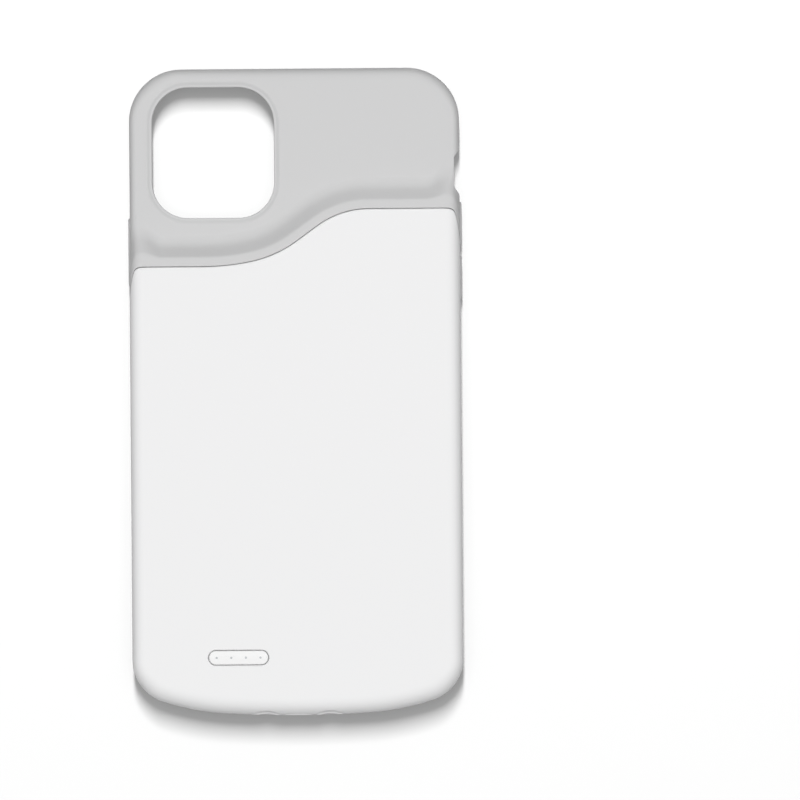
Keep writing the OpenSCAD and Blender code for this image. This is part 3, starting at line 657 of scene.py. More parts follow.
def carve(piece: bpy.types.Object, tools: Sequence[tuple[Cut, bpy.types.Object]]) -> None:
    """Cuts tool solids from a piece, or joins them to it, and applies the result.

    Args:
        piece: the closed mesh to change.
        tools: what each tool does, and the tool, which is deleted.
    """
    for cut, tool in tools:
        step = piece.modifiers.new(tool.name, "BOOLEAN")
        step.operation = cut.value
        step.solver = "EXACT"
        step.object = tool
    graph = bpy.context.evaluated_depsgraph_get()
    result = bpy.data.meshes.new_from_object(piece.evaluated_get(graph))
    piece.modifiers.clear()
    old = piece.data
    piece.data = result
    bpy.data.meshes.remove(old)
    for _, tool in tools:
        bpy.data.meshes.remove(tool.data)
    mesh = bmesh.new()
    mesh.from_mesh(piece.data)
    bmesh.ops.remove_doubles(mesh, verts=mesh.verts, dist=WELD)
    bmesh.ops.dissolve_degenerate(mesh, edges=mesh.edges, dist=WELD)
    bmesh.ops.holes_fill(mesh, edges=[edge for edge in mesh.edges if edge.is_boundary], sides=0)
    open_edges = sum(1 for edge in mesh.edges if not edge.is_manifold)
    LOG.info("%s: %d faces after its cuts, %d open edges", piece.name, len(mesh.faces), open_edges)
    mesh.to_mesh(piece.data)
    mesh.free()


def rounded_points(x: float, y: float, w: float, l: float, r: float, steps: int) -> list[tuple[float, float]]:
    """The outline of a rounded rectangle, anticlockwise.

    Args:
        x: its middle across.
        y: its middle along.
        w: its width.
        l: its length.
        r: its corner radius.
        steps: steps around each corner.

    Returns:
        The points, four times steps + 1 of them.
    """
    r = min(r, w / 2 - WELD * 2, l / 2 - WELD * 2)
    corners = ((1, 1, 0), (-1, 1, 90), (-1, -1, 180), (1, -1, 270))
    return [
        (s.x, s.y)
        for sx, sy, turn in corners
        for s in arc(x + sx * (w / 2 - r), y + sy * (l / 2 - r), r, turn, turn + 90, steps)
    ]


def prism(name: str, flat: Sequence[tuple[float, float]], low: float, high: float) -> bpy.types.Object:
    """An upright prism.

    Args:
        name: the object's name.
        flat: its outline, seen from above.
        low: the height of its foot.
        high: the height of its top.

    Returns:
        The object.
    """
    mesh = bmesh.new()
    add_band(mesh, [[Vector((x, y, z)) for x, y in flat] for z in (low, high)], closed=True)
    bmesh.ops.holes_fill(mesh, edges=mesh.edges, sides=0)
    weld(mesh)
    return to_object(mesh, name)


def round_edge(radius: float, steps: int) -> list[tuple[float, float]]:
    """Growth and depth of an edge rounded outwards, from the surface down to the straight wall."""
    angles = spread(0, math.pi / 2, steps)
    return [(radius * (1.0 - math.sin(a)), radius * (1.0 - math.cos(a))) for a in angles]


@dataclass(frozen=True)
class Socket:
    """A rounded-rectangle shape pushed along an axis, for slots, keys and buttons.

    Args:
        centre: the middle of its outline on the surface.
        across: the direction of its width.
        along: the direction of its length.
        outward: the direction out of the surface.
        w: its width.
        l: its length.
        r: its corner radius.
        steps: steps around each corner.
    """

    centre: Vector
    across: Vector
    along: Vector
    outward: Vector
    w: float
    l: float
    r: float
    steps: int = 10

    def ring(self, grow: float, depth: float) -> list[Vector]:
        """The outline, grown and moved in by a depth."""
        flat = rounded_points(0, 0, self.w + 2 * grow, self.l + 2 * grow, self.r + grow, self.steps)
        return [self.centre + self.across * u + self.along * v - self.outward * depth for u, v in flat]

    def solid(self, name: str, stages: Sequence[tuple[float, float]]) -> bpy.types.Object:
        """A closed solid through stages of growth and depth.

        Args:
            name: the object's name.
            stages: growth of the outline and depth, from one end to the other.

        Returns:
            The object.
        """
        mesh = bmesh.new()
        self.add_solid(mesh, stages)
        return to_object(mesh, name)

    def add_solid(self, mesh: bmesh.types.BMesh, stages: Sequence[tuple[float, float]]) -> None:
        """Adds a closed solid through stages of growth and depth to a mesh."""
        part = bmesh.new()
        add_band(part, [self.ring(grow, depth) for grow, depth in stages], closed=True)
        bmesh.ops.holes_fill(part, edges=part.edges, sides=0)
        weld(part)
        data = bpy.data.meshes.new("part")
        part.to_mesh(data)
        part.free()
        mesh.from_mesh(data)
        bpy.data.meshes.remove(data)


@dataclass
class Levels:
    """Heights and places that the sub-assemblies share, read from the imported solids."""

    half_w: float = field(init=False)
    half_l: float = field(init=False)
    belt: float = field(init=False)
    strip: float = field(init=False)
    cover_top: float = field(init=False)
    pocket_top: float = field(init=False)
    phone_mid: float = field(init=False)
    seam_gap: float = 0.15 * MM
    seat_gap: float = 0.05 * MM
    slide_gap: float = 0.15 * MM

    def __post_init__(self) -> None:
        """Reads the heights from the solids' boxes."""
        low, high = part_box("bumper_frame")
        self.half_w, self.half_l, self.strip = high.x, high.y, high.z
        self.cover_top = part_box("back_cover")[1].z
        self.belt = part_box("back_cover")[0].z - self.seat_gap
        self.pocket_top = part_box("inner_tray")[0].z
        blade_low, blade_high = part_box("phone_plug_blade")
        self.phone_mid = (blade_low.z + blade_high.z) / 2


def key_side(node: str) -> int:
    """1 for a key on the +X side, -1 for one on the -X side."""
    low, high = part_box(node)
    return 1 if low.x + high.x > 0 else -1


@dataclass
class SideKeys:
    """The three side keys and the slots that they slide in."""

    levels: Levels
    width: float = 2.8 * MM
    proud: float = 0.5 * MM
    end_gap: float = 0.35 * MM
    flange_reach: float = 0.6 * MM
    flange_t: float = 0.6 * MM
    nub_l: float = 4.0 * MM
    nub_t: float = 0.3 * MM
    edge_r: float = 0.35 * MM
    wall_t: float = 2.85 * MM
    travel: float = 0.4 * MM
    slot_round: float = 0.2 * MM
    riders: tuple[tuple[str, Body], ...] = (
        ("volume_up_key", Body.VOLUME_UP),
        ("volume_down_key", Body.VOLUME_DOWN),
        ("power_key", Body.POWER),
    )

    def _socket(self, node: str, margin: float, end_margin: float) -> Socket:
        """The key's outline on the wall, widened by a margin.

        Args:
            node: the key's solid.
            margin: how much wider on each long side.
            end_margin: how much longer at each end.

        Returns:
            The outline.
        """
        low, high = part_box(node)
        sign = key_side(node)
        length = high.y - low.y - 2 * self.flange_reach
        centre = Vector((sign * self.levels.half_w, (low.y + high.y) / 2, (low.z + high.z) / 2))
        width = self.width + 2 * margin
        return Socket(centre, Vector((0, 0, 1)), Vector((0, 1, 0)), Vector((sign, 0, 0)),
                      width, length + 2 * end_margin, width / 2)

    @property
    def recess_t(self) -> float:
        """Depth of the pocket behind the wall that the flange moves in."""
        return self.flange_t + self.travel + self.levels.slide_gap

    def slot_tools(self) -> list[tuple[Cut, bpy.types.Object]]:
        """The tool solids that cut each key's slot and the pocket behind it."""
        tools = []
        clear = self.levels.slide_gap
        over = 1.0 * MM
        rounded = round_edge(self.slot_round, 3)
        for node, _ in self.riders:
            slot = self._socket(node, clear, self.end_gap)
            stages = [(self.slot_round, -over)] + rounded + [(0.0, self.wall_t + over)]
            tools.append((Cut.REMOVE, slot.solid(f"{node}_slot", stages)))
            back = self.flange_reach + clear
            stages = [(back, self.wall_t - self.recess_t), (back, self.wall_t + over)]
            tools.append((Cut.REMOVE, slot.solid(f"{node}_recess", stages)))
        return tools

    def build(self) -> None:
        """Builds the three keys."""
        for node, body in self.riders:
            cap = self._socket(node, 0.0, 0.0)
            inner = self.wall_t - self.recess_t + self.levels.seat_gap
            foot = inner + self.flange_t
            edge = [(-self.edge_r + self.edge_r * math.sin(a), -self.proud + self.edge_r * (1.0 - math.cos(a)))
                    for a in spread(0, math.pi / 2, 5)]
            stages = edge + [(0.0, inner), (self.flange_reach, inner), (self.flange_reach, foot)]
            mesh = bmesh.new()
            cap.add_solid(mesh, stages)
            low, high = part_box(node)
            nub = Socket(cap.centre, cap.across, cap.along, cap.outward, self.width / 2, self.nub_l, self.width / 4)
            nub.add_solid(mesh, [(0.0, foot - self.levels.seat_gap), (0.0, foot + self.nub_t)])
            piece = to_object(mesh, node.replace("key", "cap"))
            finish_mesh(piece)
            place_piece(piece, body, SOFT_GREY, node)


def place_piece(piece: bpy.types.Object, body: Body, finish: Finish, *nodes: str) -> None:
    """Dresses a piece, lets it ride on its body and hides the solids that it replaces.

    Args:
        piece: the finished object.
        body: the body that it moves with.
        finish: its finish.
        nodes: the solids that it replaces.
    """
    dress(piece, finish)
    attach(piece, body.value)
    if nodes:
        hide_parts(*nodes)
    LOG.info("%s: %d faces on %s", piece.name, len(piece.data.polygons), body.value)


@dataclass
class BumperFrame:
    """The soft grey moulding: lip, side walls, upper back, ramp and camera window."""

    levels: Levels
    outline: CaseOutline
    seam: SeamPath
    keys: SideKeys
    upper_back: float = 11.4 * MM
    side_w: float = 1.9 * MM
    side_h: float = 2.8 * MM
    top_w: float = 3.05 * MM
    strip_w: float = 2.0 * MM
    strip_tilt: float = 0.14
    crest_w: float = 0.8 * MM
    face_w: float = 1.9 * MM
    foot_w: float = 3.5 * MM
    edge_r: float = 0.25 * MM
    level_w: float = 1.2 * MM
    side_stretch: float = 0.55
    slant: float = 5.5 * MM
    lip_t: float = 1.2 * MM
    lip_round_w: float = 1.7 * MM
    lip_round_h: float = 2.4 * MM
    lip_edge_r: float = 0.5 * MM
    wall_t: float = 2.85 * MM
    top_wall_t: float = 2.5 * MM
    pocket_l: float = 158.5 * MM
    pocket_r: float = 13.25 * MM
    lip_over_side: float = 1.45 * MM
    lip_over_top: float = 1.05 * MM
    lip_over_bottom: float = 1.8 * MM
    skirt_t: float = 1.2 * MM
    ledge_w: float = 1.5 * MM
    ledge_t: float = 1.0 * MM
    tray_t: float = 1.0 * MM
    ledge_z: float = 15.05 * MM
    window_x: float = -20.6 * MM
    window_y: float = 60.85 * MM
    window_w: float = 31.0 * MM
    window_l: float = 33.2 * MM
    window_r: float = 9.1 * MM
    dish_w: float = 1.15 * MM
    dish_t: float = 0.5 * MM
    window_edge_r: float = 0.35 * MM
    mute_y: float = 55.5 * MM
    mute_l: float = 7.1 * MM
    mute_h: float = 5.0 * MM
    scoop_l: float = 12.4 * MM
    scoop_t: float = 1.4 * MM
    sound_x: float = 15.5 * MM
    sound_w: float = 13.0 * MM
    sound_h: float = 2.0 * MM

    @property
    def ramp_w(self) -> float:
        """Width of the ramp from crest to foot."""
        return self.crest_w + self.face_w + self.foot_w

    def fall(self, off: float) -> float:
        """How far the surface has fallen below the strip.

        Args:
            off: distance from the seam.

        Returns:
            The fall: a round crest, a steep face and a wide hollow foot.
        """
        drop = self.levels.strip - self.upper_back
        tilt = self.strip_tilt
        level = tilt * max(0.0, min(off, self.strip_w) - self.edge_r)
        t = off - self.strip_w
        if t <= 0:
            return level
        rest = drop - level - tilt * self.crest_w / 2
        slope = rest / (self.crest_w / 2 + self.face_w + self.foot_w / 2)
        if t < self.crest_w:
            return level + tilt * t + (slope - tilt) * t * t / (2 * self.crest_w)
        left = self.ramp_w - t
        if left > self.foot_w:
            return drop - slope * (left - self.foot_w / 2)
        return drop - slope * left * left / (2 * self.foot_w) if left > 0 else drop

    def lane(self, off: float, sink: float = 0.0) -> Lane:
        """The lane at a distance from the seam.

        Args:
            off: that distance.
            sink: how far the seam's rounded edge has lowered it.

        Returns:
            The lane.
        """
        fallen = self.fall(off)
        stretch = self.side_stretch * max(0.0, off - self.levels.seam_gap - self.edge_r)
        share = 1.0 - fallen / (self.levels.strip - self.upper_back)
        return Lane(off, off + stretch, SeamGrid.corner_r + off, self.levels.strip - fallen,
                    self.side_w + (BackCover.round_w - self.side_w) * share,
                    self.side_h + (BackCover.round_h - self.side_h) * share, sink, self.slant * share)

    def lanes(self) -> list[Lane]:
        """All lanes from the seam to the foot of the ramp."""
        gap = self.levels.seam_gap
        edge = [
            self.lane(gap + self.edge_r * (1.0 - math.cos(a)), self.edge_r * (1.0 - math.sin(a)))
            for a in spread(0, math.pi / 2, 4)
        ]
        crest = self.strip_w + self.crest_w
        face = crest + self.face_w
        offs = [1.0 * MM, 1.7 * MM]
        offs += spread(self.strip_w, crest, 6)
        offs += spread(crest, face, 4)[1:]
        offs += spread(face, self.strip_w + self.ramp_w, 9)[1:]
        foot = self.lane(self.strip_w + self.ramp_w)
        level = Lane(foot.off + self.level_w, foot.side_off + self.level_w, 0.0, foot.top, foot.width,
                     foot.height)
        return edge + [self.lane(off) for off in offs] + [level]

    def skin(self) -> bpy.types.Object:
        """The outer skin as a closed solid, stepped down to the belt seam under the cover."""
        grid = SeamGrid(self.outline, self.seam, self.levels.belt)
        mesh = bmesh.new()
        lanes = self.lanes()
        rows = grid.build(mesh, lanes)
        seam_line = [vert.co.copy() for vert in rows[0]]
        foot_line = rows[-1]
        left_foot, right_foot = foot_line[0].co.y, foot_line[-1].co.y
        steps = grid.round_steps
        upper = (
            self.outline.side(1, spread(right_foot, self.outline.side_top, 4)[:-1])
            + self.outline.top_run()
            + self.outline.side(-1, spread(self.outline.side_top, left_foot, 9)[1:])
        )
        rings = [[s.inset(0.0, self.levels.belt) for s in upper]]
        top_h = self.upper_back - self.levels.belt
        for a in spread(0, math.pi / 2, steps):
            ring = []
            for s in upper:
                share = smooth(1.2 * s.out_y)
                width = self.side_w + (self.top_w - self.side_w) * share
                height = self.side_h + (top_h - self.side_h) * share
                ring.append(s.inset(width * (1.0 - math.cos(a)), self.upper_back - height * (1.0 - math.sin(a))))
            rings.append(ring)
        add_band(mesh, rings, closed=False)
        self._add_window(mesh)
        left_walls = [row[0].co.y for row in rows]
        right_walls = [row[-1].co.y for row in rows]
        loop = (
            self.outline.side(1, spread(self.outline.low_corner[1], right_walls[0], 26)[1:-1])
            + self.outline.side(1, right_walls[:-1])
            + upper
            + self.outline.side(-1, reversed(left_walls[:-1]))
            + self.outline.side(-1, spread(left_walls[0], self.outline.low_corner[1], 26)[1:-1])
            + self.outline.low_run()
        )
        wall = [self.levels.belt, self.lip_round_h * 2, self.lip_round_h]
        rings = [[s.inset(0.0, z) for s in loop] for z in wall]
        rings += [
            [s.inset(self.lip_round_w * (1.0 - math.cos(a)), self.lip_round_h * (1.0 - math.sin(a)))
             for s in loop]
            for a in spread(0, math.pi / 2, 8)[1:]
        ]
        add_band(mesh, rings, closed=True)
        add_band(mesh, [seam_line, [Vector((p.x, p.y, self.levels.belt)) for p in seam_line]], closed=False)
        bmesh.ops.remove_doubles(mesh, verts=mesh.verts, dist=WELD)
        fill_rim(mesh, lambda p: abs(p.z - self.upper_back) < WELD)
        fill_rim(mesh, lambda p: abs(p.z - self.levels.belt) < WELD)
        fill_rim(mesh, lambda p: abs(p.z) < WELD)
        weld(mesh)
        return to_object(mesh, "soft_bumper")

    def _add_window(self, mesh: bmesh.types.BMesh) -> None:
        """Adds the camera window's dish, edge and walls, closed below the pocket's roof.

        Args:
            mesh: the skin that takes it.
        """
        top = Vector((self.window_x, self.window_y, self.upper_back))
        window = Socket(top, Vector((1, 0, 0)), Vector((0, 1, 0)), Vector((0, 0, 1)),
                        self.window_w, self.window_l, self.window_r, 14)
        dish = [(self.window_edge_r + self.dish_w * (1.0 - t), self.dish_t * smooth(t)) for t in spread(0, 1, 6)]
        edge = [(grow, self.dish_t + depth) for grow, depth in round_edge(self.window_edge_r, 5)[1:]]
        floor = self.upper_back - self.levels.pocket_top + 0.5 * MM
        part = bmesh.new()
        add_band(part, [window.ring(grow, depth) for grow, depth in dish + edge + [(0.0, floor)]], closed=True)
        base = self.upper_back - floor
        fill_rim(part, lambda p: abs(p.z - base) < WELD)
        data = bpy.data.meshes.new("window")
        part.to_mesh(data)
        part.free()
        mesh.from_mesh(data)
        bpy.data.meshes.remove(data)

    def _pocket_tool(self) -> bpy.types.Object:
        """The room for the phone and the opening in the lip, as one stepped solid."""
        top_y = self.levels.half_l - self.top_wall_t
        mid_y = top_y - self.pocket_l / 2
        width = 2 * (self.levels.half_w - self.wall_t)
        open_w = width - 2 * self.lip_over_side
        open_l = self.pocket_l - self.lip_over_top - self.lip_over_bottom
        open_y = mid_y + (self.lip_over_bottom - self.lip_over_top) / 2
        open_r = self.pocket_r - self.lip_over_side
        steps = 16
        rings = [(self.lip_edge_r, -1.0 * MM)]
        rings += [(grow, depth) for grow, depth in round_edge(self.lip_edge_r, 5)]
        mesh = bmesh.new()

        def lip_ring(grow: float, z: float) -> list[Vector]:
            flat = rounded_points(0, open_y, open_w + 2 * grow, open_l + 2 * grow, open_r + grow, steps)
            return [Vector((x, y, z)) for x, y in flat]

        def pocket_ring(z: float) -> list[Vector]:
            return [Vector((x, y, z)) for x, y in self._pocket_outline(0.0)]

        bands = [lip_ring(grow, z) for grow, z in rings]
        bands += [lip_ring(0.0, self.lip_t), pocket_ring(self.lip_t), pocket_ring(self.levels.pocket_top)]
        add_band(mesh, bands, closed=True)
        bmesh.ops.holes_fill(mesh, edges=mesh.edges, sides=0)
        weld(mesh)
        return to_object(mesh, "pocket_tool")

    def _seam_bar(self, name: str, profile: Sequence[tuple[float, float]], reach: float) -> bpy.types.Object:
        """A bar along the seam.

        Args:
            name: the object's name.
            profile: distance from the seam and height of each corner of its section.
            reach: how far it reaches to both sides.

        Returns:
            The object.
        """
        mesh = bmesh.new()
        path = self.seam.stations(-reach, reach)
        rings = [[Vector((s.x + s.out_x * off, s.y + s.out_y * off, z)) for off, z in profile] for s in path]
        add_band(mesh, rings, closed=True)
        bmesh.ops.holes_fill(mesh, edges=mesh.edges, sides=0)
        weld(mesh)
        return to_object(mesh, name)

    def _pocket_outline(self, grow: float) -> list[tuple[float, float]]:
        """The phone pocket's outline, seen from the back, grown by a margin."""
        width = 2 * (self.levels.half_w - self.wall_t + grow)
        mid_y = self.levels.half_l - self.top_wall_t - self.pocket_l / 2
        return rounded_points(0, mid_y, width, self.pocket_l + 2 * grow, self.pocket_r + grow, 16)

    def _rim_tool(self) -> bpy.types.Object:
        """The inner half of the wall, which stands up inside the cover's skirt and carries the tray."""
        inset = self.skirt_t + 2 * self.levels.seam_gap
        low, high = self.lip_round_h * 2, self.levels.pocket_top
        rim = prism("rim_tool", [s.inset(inset, 0.0).xy for s in self.outline.loop()], low, high)
        room = prism("rim_room", self._pocket_outline(0.1 * MM), low - 1.0 * MM, high + 1.0 * MM)
        carve(rim, [(Cut.REMOVE, room)])
        return rim

    def _mute_tools(self) -> list[tuple[Cut, bpy.types.Object]]:
        """The scoop in the side and the opening at the phone's mute switch."""
        half_w, y = self.levels.half_w, self.mute_y
        over = 1.0 * MM
        half_scoop, half_open = self.scoop_l / 2, self.mute_l / 2
        depths = []
        for t in spread(-1, 1, 28):
            rise = smooth((1.0 - abs(t)) * half_scoop / (half_scoop - half_open))
            depths.append((y + t * half_scoop, half_w - self.scoop_t * rise))
        mesh = bmesh.new()
        outer = [(along, half_w + over) for along in (y + half_scoop, y - half_scoop)]
        flat = [(x, along) for along, x in depths] + [(x, along) for along, x in outer]
        add_band(mesh, [[Vector((x, along, z)) for x, along in flat]
                        for z in (-over, self.levels.cover_top + over)], closed=True)
        bmesh.ops.holes_fill(mesh, edges=mesh.edges, sides=0)
        weld(mesh)
        scoop = to_object(mesh, "scoop_tool")
        hole = Socket(Vector((half_w - self.scoop_t, y, self.levels.phone_mid)), Vector((0, 0, 1)),
                      Vector((0, 1, 0)), Vector((1, 0, 0)), self.mute_h, self.mute_l, 1.4 * MM)
        rounded = round_edge(0.25 * MM, 3)
        opening = hole.solid("mute_tool", [(0.25 * MM, -over)] + rounded + [(0.0, self.wall_t)])
        return [(Cut.REMOVE, scoop), (Cut.REMOVE, opening)]

    def _chin_tools(self) -> list[tuple[Cut, bpy.types.Object]]:
        """The sound slots and the seat of the plug in the wall under the phone's bottom edge."""
        tools = []
        low_y = self.levels.half_l
        pocket_y = low_y - (self.levels.half_l * 2 - self.top_wall_t - self.pocket_l)
        for name, x in (("left", -self.sound_x), ("right", self.sound_x)):
            face_y = self._edge_y(x)
            slot = Socket(Vector((x, face_y, self.levels.phone_mid)), Vector((1, 0, 0)), Vector((0, 0, 1)),
                          Vector((0, -1, 0)), self.sound_w, self.sound_h, self.sound_h / 2)
            rounded = round_edge(0.25 * MM, 3)
            depth = face_y + pocket_y + 1.0 * MM
            tools.append((Cut.REMOVE, slot.solid(f"sound_{name}",
                                                 [(0.25 * MM, -2.0 * MM)] + rounded + [(0.0, abs(depth) + 4 * MM)])))
        low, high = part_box("phone_plug_base")
        gap = self.levels.seat_gap
        seat = Socket(Vector((0, high.y, self.levels.phone_mid)), Vector((1, 0, 0)), Vector((0, 0, 1)),
                      Vector((0, 1, 0)), high.x - low.x + 2 * gap, high.z - low.z + 2 * gap, 0.2 * MM)
        tools.append((Cut.REMOVE, seat.solid("plug_seat", [(0.0, -1.0 * MM), (0.0, high.y - low.y + gap)])))
        return tools

    def _edge_y(self, x: float) -> float:
        """Where the bowed bottom edge lies at a place across the case."""
        run = self.outline.low_run()
        return min(run, key=lambda s: abs(s.x - x)).y

    def build(self) -> None:
        """Builds the frame and puts it in place of its solid."""
        piece = self.skin()
        reach = self.levels.half_w - self.wall_t - self.skirt_t
        tray_top = self.levels.pocket_top + self.tray_t
        under = self.ledge_z - self.ledge_t
        face = self.strip_w + self.ramp_w / 2 - 1.7 * MM
        hollow = self._seam_bar("hollow_tool", (
            (-1.0 * MM, tray_top), (face, tray_top), (face, self.upper_back),
            (self.strip_w - 0.4 * MM, under), (-1.0 * MM, under)), reach)
        ledge = self._seam_bar("ledge_tool", (
            (-self.ledge_w, under), (self.strip_w / 2, under),
            (self.strip_w / 2, self.ledge_z), (-self.ledge_w, self.ledge_z)), reach - self.levels.seam_gap)
        sill = self._seam_bar("sill_tool", (
            (-self.ledge_w, self.levels.pocket_top - 0.4 * MM),
            (self.strip_w * 0.4, self.levels.pocket_top - 0.4 * MM),
            (self.strip_w * 0.4, tray_top - 0.05 * MM), (-self.ledge_w, tray_top - 0.05 * MM)),
            reach - 1.5 * self.levels.seam_gap)
        tools = [(Cut.REMOVE, hollow), (Cut.ADD, ledge), (Cut.ADD, sill), (Cut.ADD, self._rim_tool()),
                 (Cut.REMOVE, self._pocket_tool())]
        tools += self._mute_tools() + self.keys.slot_tools() + self._chin_tools()
        carve(piece, tools)
        finish_mesh(piece, self.upper_back)
        place_piece(piece, Body.CASE, SOFT_GREY, "bumper_frame")


@dataclass
class BackCover:
    """The hard white shell over the battery."""

    levels: Levels
    outline: CaseOutline
    seam: SeamPath
    round_w: float = 3.3 * MM
    round_h: float = 3.8 * MM
    edge_r: float = 0.35 * MM
    thick: float = 1.4 * MM
    skirt_t: float = 1.2 * MM
    low_round_w: float = 4.6 * MM
    low_round_h: float = 5.4 * MM
    fade_w: float = 14.0 * MM
    outlet_w: float = 7.1 * MM
    outlet_h: float = 2.3 * MM
    outlet_x: float = 8.1 * MM
    scoop_r: float = 7.5 * MM
    scoop_depth: float = 1.2 * MM
    scoop_low: float = 9.6 * MM
    scoop_high: float = 14.4 * MM
    hole_round: float = 0.28 * MM

    def lane(self, depth: float, sink: float = 0.0) -> Lane:
        """The lane at a distance from the seam into the cover.

        Args:
            depth: that distance.
            sink: how far the seam's rounded edge has lowered it.

        Returns:
            The lane.
        """
        fade = max(0.0, 1.0 - depth / self.fade_w)
        corner = SeamGrid.corner_r / max(0.1, fade) if fade > 0.1 else 0.0
        return Lane(-depth, -depth, corner, self.levels.cover_top, self.round_w, self.round_h, sink,
                    BumperFrame.slant * smooth(fade))

    def skin(self) -> bpy.types.Object:
        """The outer skin as a closed solid."""
        base = self.levels.belt + self.levels.seat_gap
        grid = SeamGrid(self.outline, self.seam, base)
        lanes = [
            self.lane(self.edge_r * (1.0 - math.cos(a)), self.edge_r * (1.0 - math.sin(a)))
            for a in spread(0, math.pi / 2, 5)
        ]
        lanes += [self.lane(depth) for depth in spread(0.6 * MM, self.fade_w, 12)]
        mesh = bmesh.new()
        rows = grid.build(mesh, lanes)
        seam_line = [vert.co.copy() for vert in rows[0]]
        left_foot, right_foot = rows[-1][0].co.y, rows[-1][-1].co.y
        lower = (
            self.outline.side(-1, spread(left_foot, self.outline.low_corner[1], 24)[:-1])
            + self.outline.low_run()
            + self.outline.side(1, spread(self.outline.low_corner[1], right_foot, 26)[1:])
        )
        rings = [[s.inset(0.0, base) for s in lower]]
        for a in spread(0, math.pi / 2, grid.round_steps):
            ring = []
            for s in lower:
                share = smooth(-1.3 * s.out_y)
                width = self.round_w + (self.low_round_w - self.round_w) * share
                height = self.round_h + (self.low_round_h - self.round_h) * share
                ring.append(s.inset(width * (1.0 - math.cos(a)),
                                    self.levels.cover_top - height * (1.0 - math.sin(a))))
            rings.append(ring)
        add_band(mesh, rings, closed=False)
        add_band(mesh, [seam_line, [Vector((p.x, p.y, base)) for p in seam_line]], closed=False)
        bmesh.ops.remove_doubles(mesh, verts=mesh.verts, dist=WELD)
        fill_rim(mesh, lambda p: abs(p.z - self.levels.cover_top) < WELD)
        bmesh.ops.holes_fill(mesh, edges=[e for e in mesh.edges if e.is_boundary], sides=0)
        weld(mesh)
        return to_object(mesh, "battery_cover")

    def _inside_tool(self) -> bpy.types.Object:
        """The room inside the skirt and the back."""
        loop = self.outline.loop()
        start = self.levels.belt + self.skirt_t
        top = self.levels.cover_top - self.thick
        rings = [[s.inset(self.skirt_t, self.levels.belt - 1.0 * MM) for s in loop]]
        rings += [
            [s.inset(self.skirt_t + (self.round_w - self.skirt_t / 2) * (1.0 - math.cos(a)),
                     start + (top - start) * math.sin(a)) for s in loop]
            for a in spread(0, math.pi / 2, 8)
        ]
        mesh = bmesh.new()
        add_band(mesh, rings, closed=True)
        bmesh.ops.holes_fill(mesh, edges=mesh.edges, sides=0)
        weld(mesh)
        return to_object(mesh, "cover_inside_tool")

    def _edge_tools(self) -> list[tuple[Cut, bpy.types.Object]]:
        """The mouth for the charging plug and the two sound outlets in the bottom edge."""
        low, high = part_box("charge_port_shell")
        z = (low.z + high.z) / 2
        gap = self.levels.slide_gap
        shapes = [
            ("port_mouth", 0.0, high.x - low.x + 2 * gap, high.z - low.z + 2 * gap),
            ("outlet_left", -self.outlet_x, self.outlet_w, self.outlet_h),
            ("outlet_right", self.outlet_x, self.outlet_w, self.outlet_h),
        ]
        tools = []
        for name, x, w, h in shapes:
            mouth = Socket(Vector((x, -self.levels.half_l, z)), Vector((1, 0, 0)), Vector((0, 0, 1)),
                           Vector((0, -1, 0)), w, h, h / 2)
            tools.append((Cut.REMOVE, mouth.solid(name, [(0.0, -1.0 * MM), (0.0, 4.5 * MM)])))
        for name, x in (("scoop_left", -self.outlet_x), ("scoop_right", self.outlet_x)):
            edge_y = min(self.outline.low_run(), key=lambda s: abs(s.x - x)).y
            top = self.levels.cover_top
            stages = [(-0.3 * MM, self.scoop_low - 1.5 * MM), (0.0, self.scoop_low),
                      (self.scoop_depth, self.scoop_high), (self.scoop_depth + 0.4 * MM, top + 0.3 * MM)]
            rings = [
                [Vector((x + (self.scoop_r + grow) * math.cos(a),
                         edge_y - self.scoop_r + (self.scoop_r + grow) * math.sin(a), height))
                 for a in spread(0.05, 2 * math.pi + 0.05, 56)[:-1]]
                for grow, height in stages
            ]
            mesh = bmesh.new()
            add_band(mesh, rings, closed=True)
            bmesh.ops.holes_fill(mesh, edges=mesh.edges, sides=0)
            weld(mesh)
            tools.append((Cut.REMOVE, to_object(mesh, name)))
        return tools

    def build(self, button: Socket) -> None:
        """Builds the cover and puts it in place of its solid.

        Args:
            button: the outline of the status button's hole.
        """
        piece = self.skin()
        rounded = round_edge(self.hole_round, 4)
        hole = button.solid("button_hole", [(self.hole_round, -1.0 * MM)] + rounded + [(0.0, 3.0 * MM)])
        carve(piece, [(Cut.REMOVE, self._inside_tool()), (Cut.REMOVE, hole)] + self._edge_tools())
        finish_mesh(piece, self.levels.cover_top)
        place_piece(piece, Body.CASE, SATIN_WHITE, "back_cover")


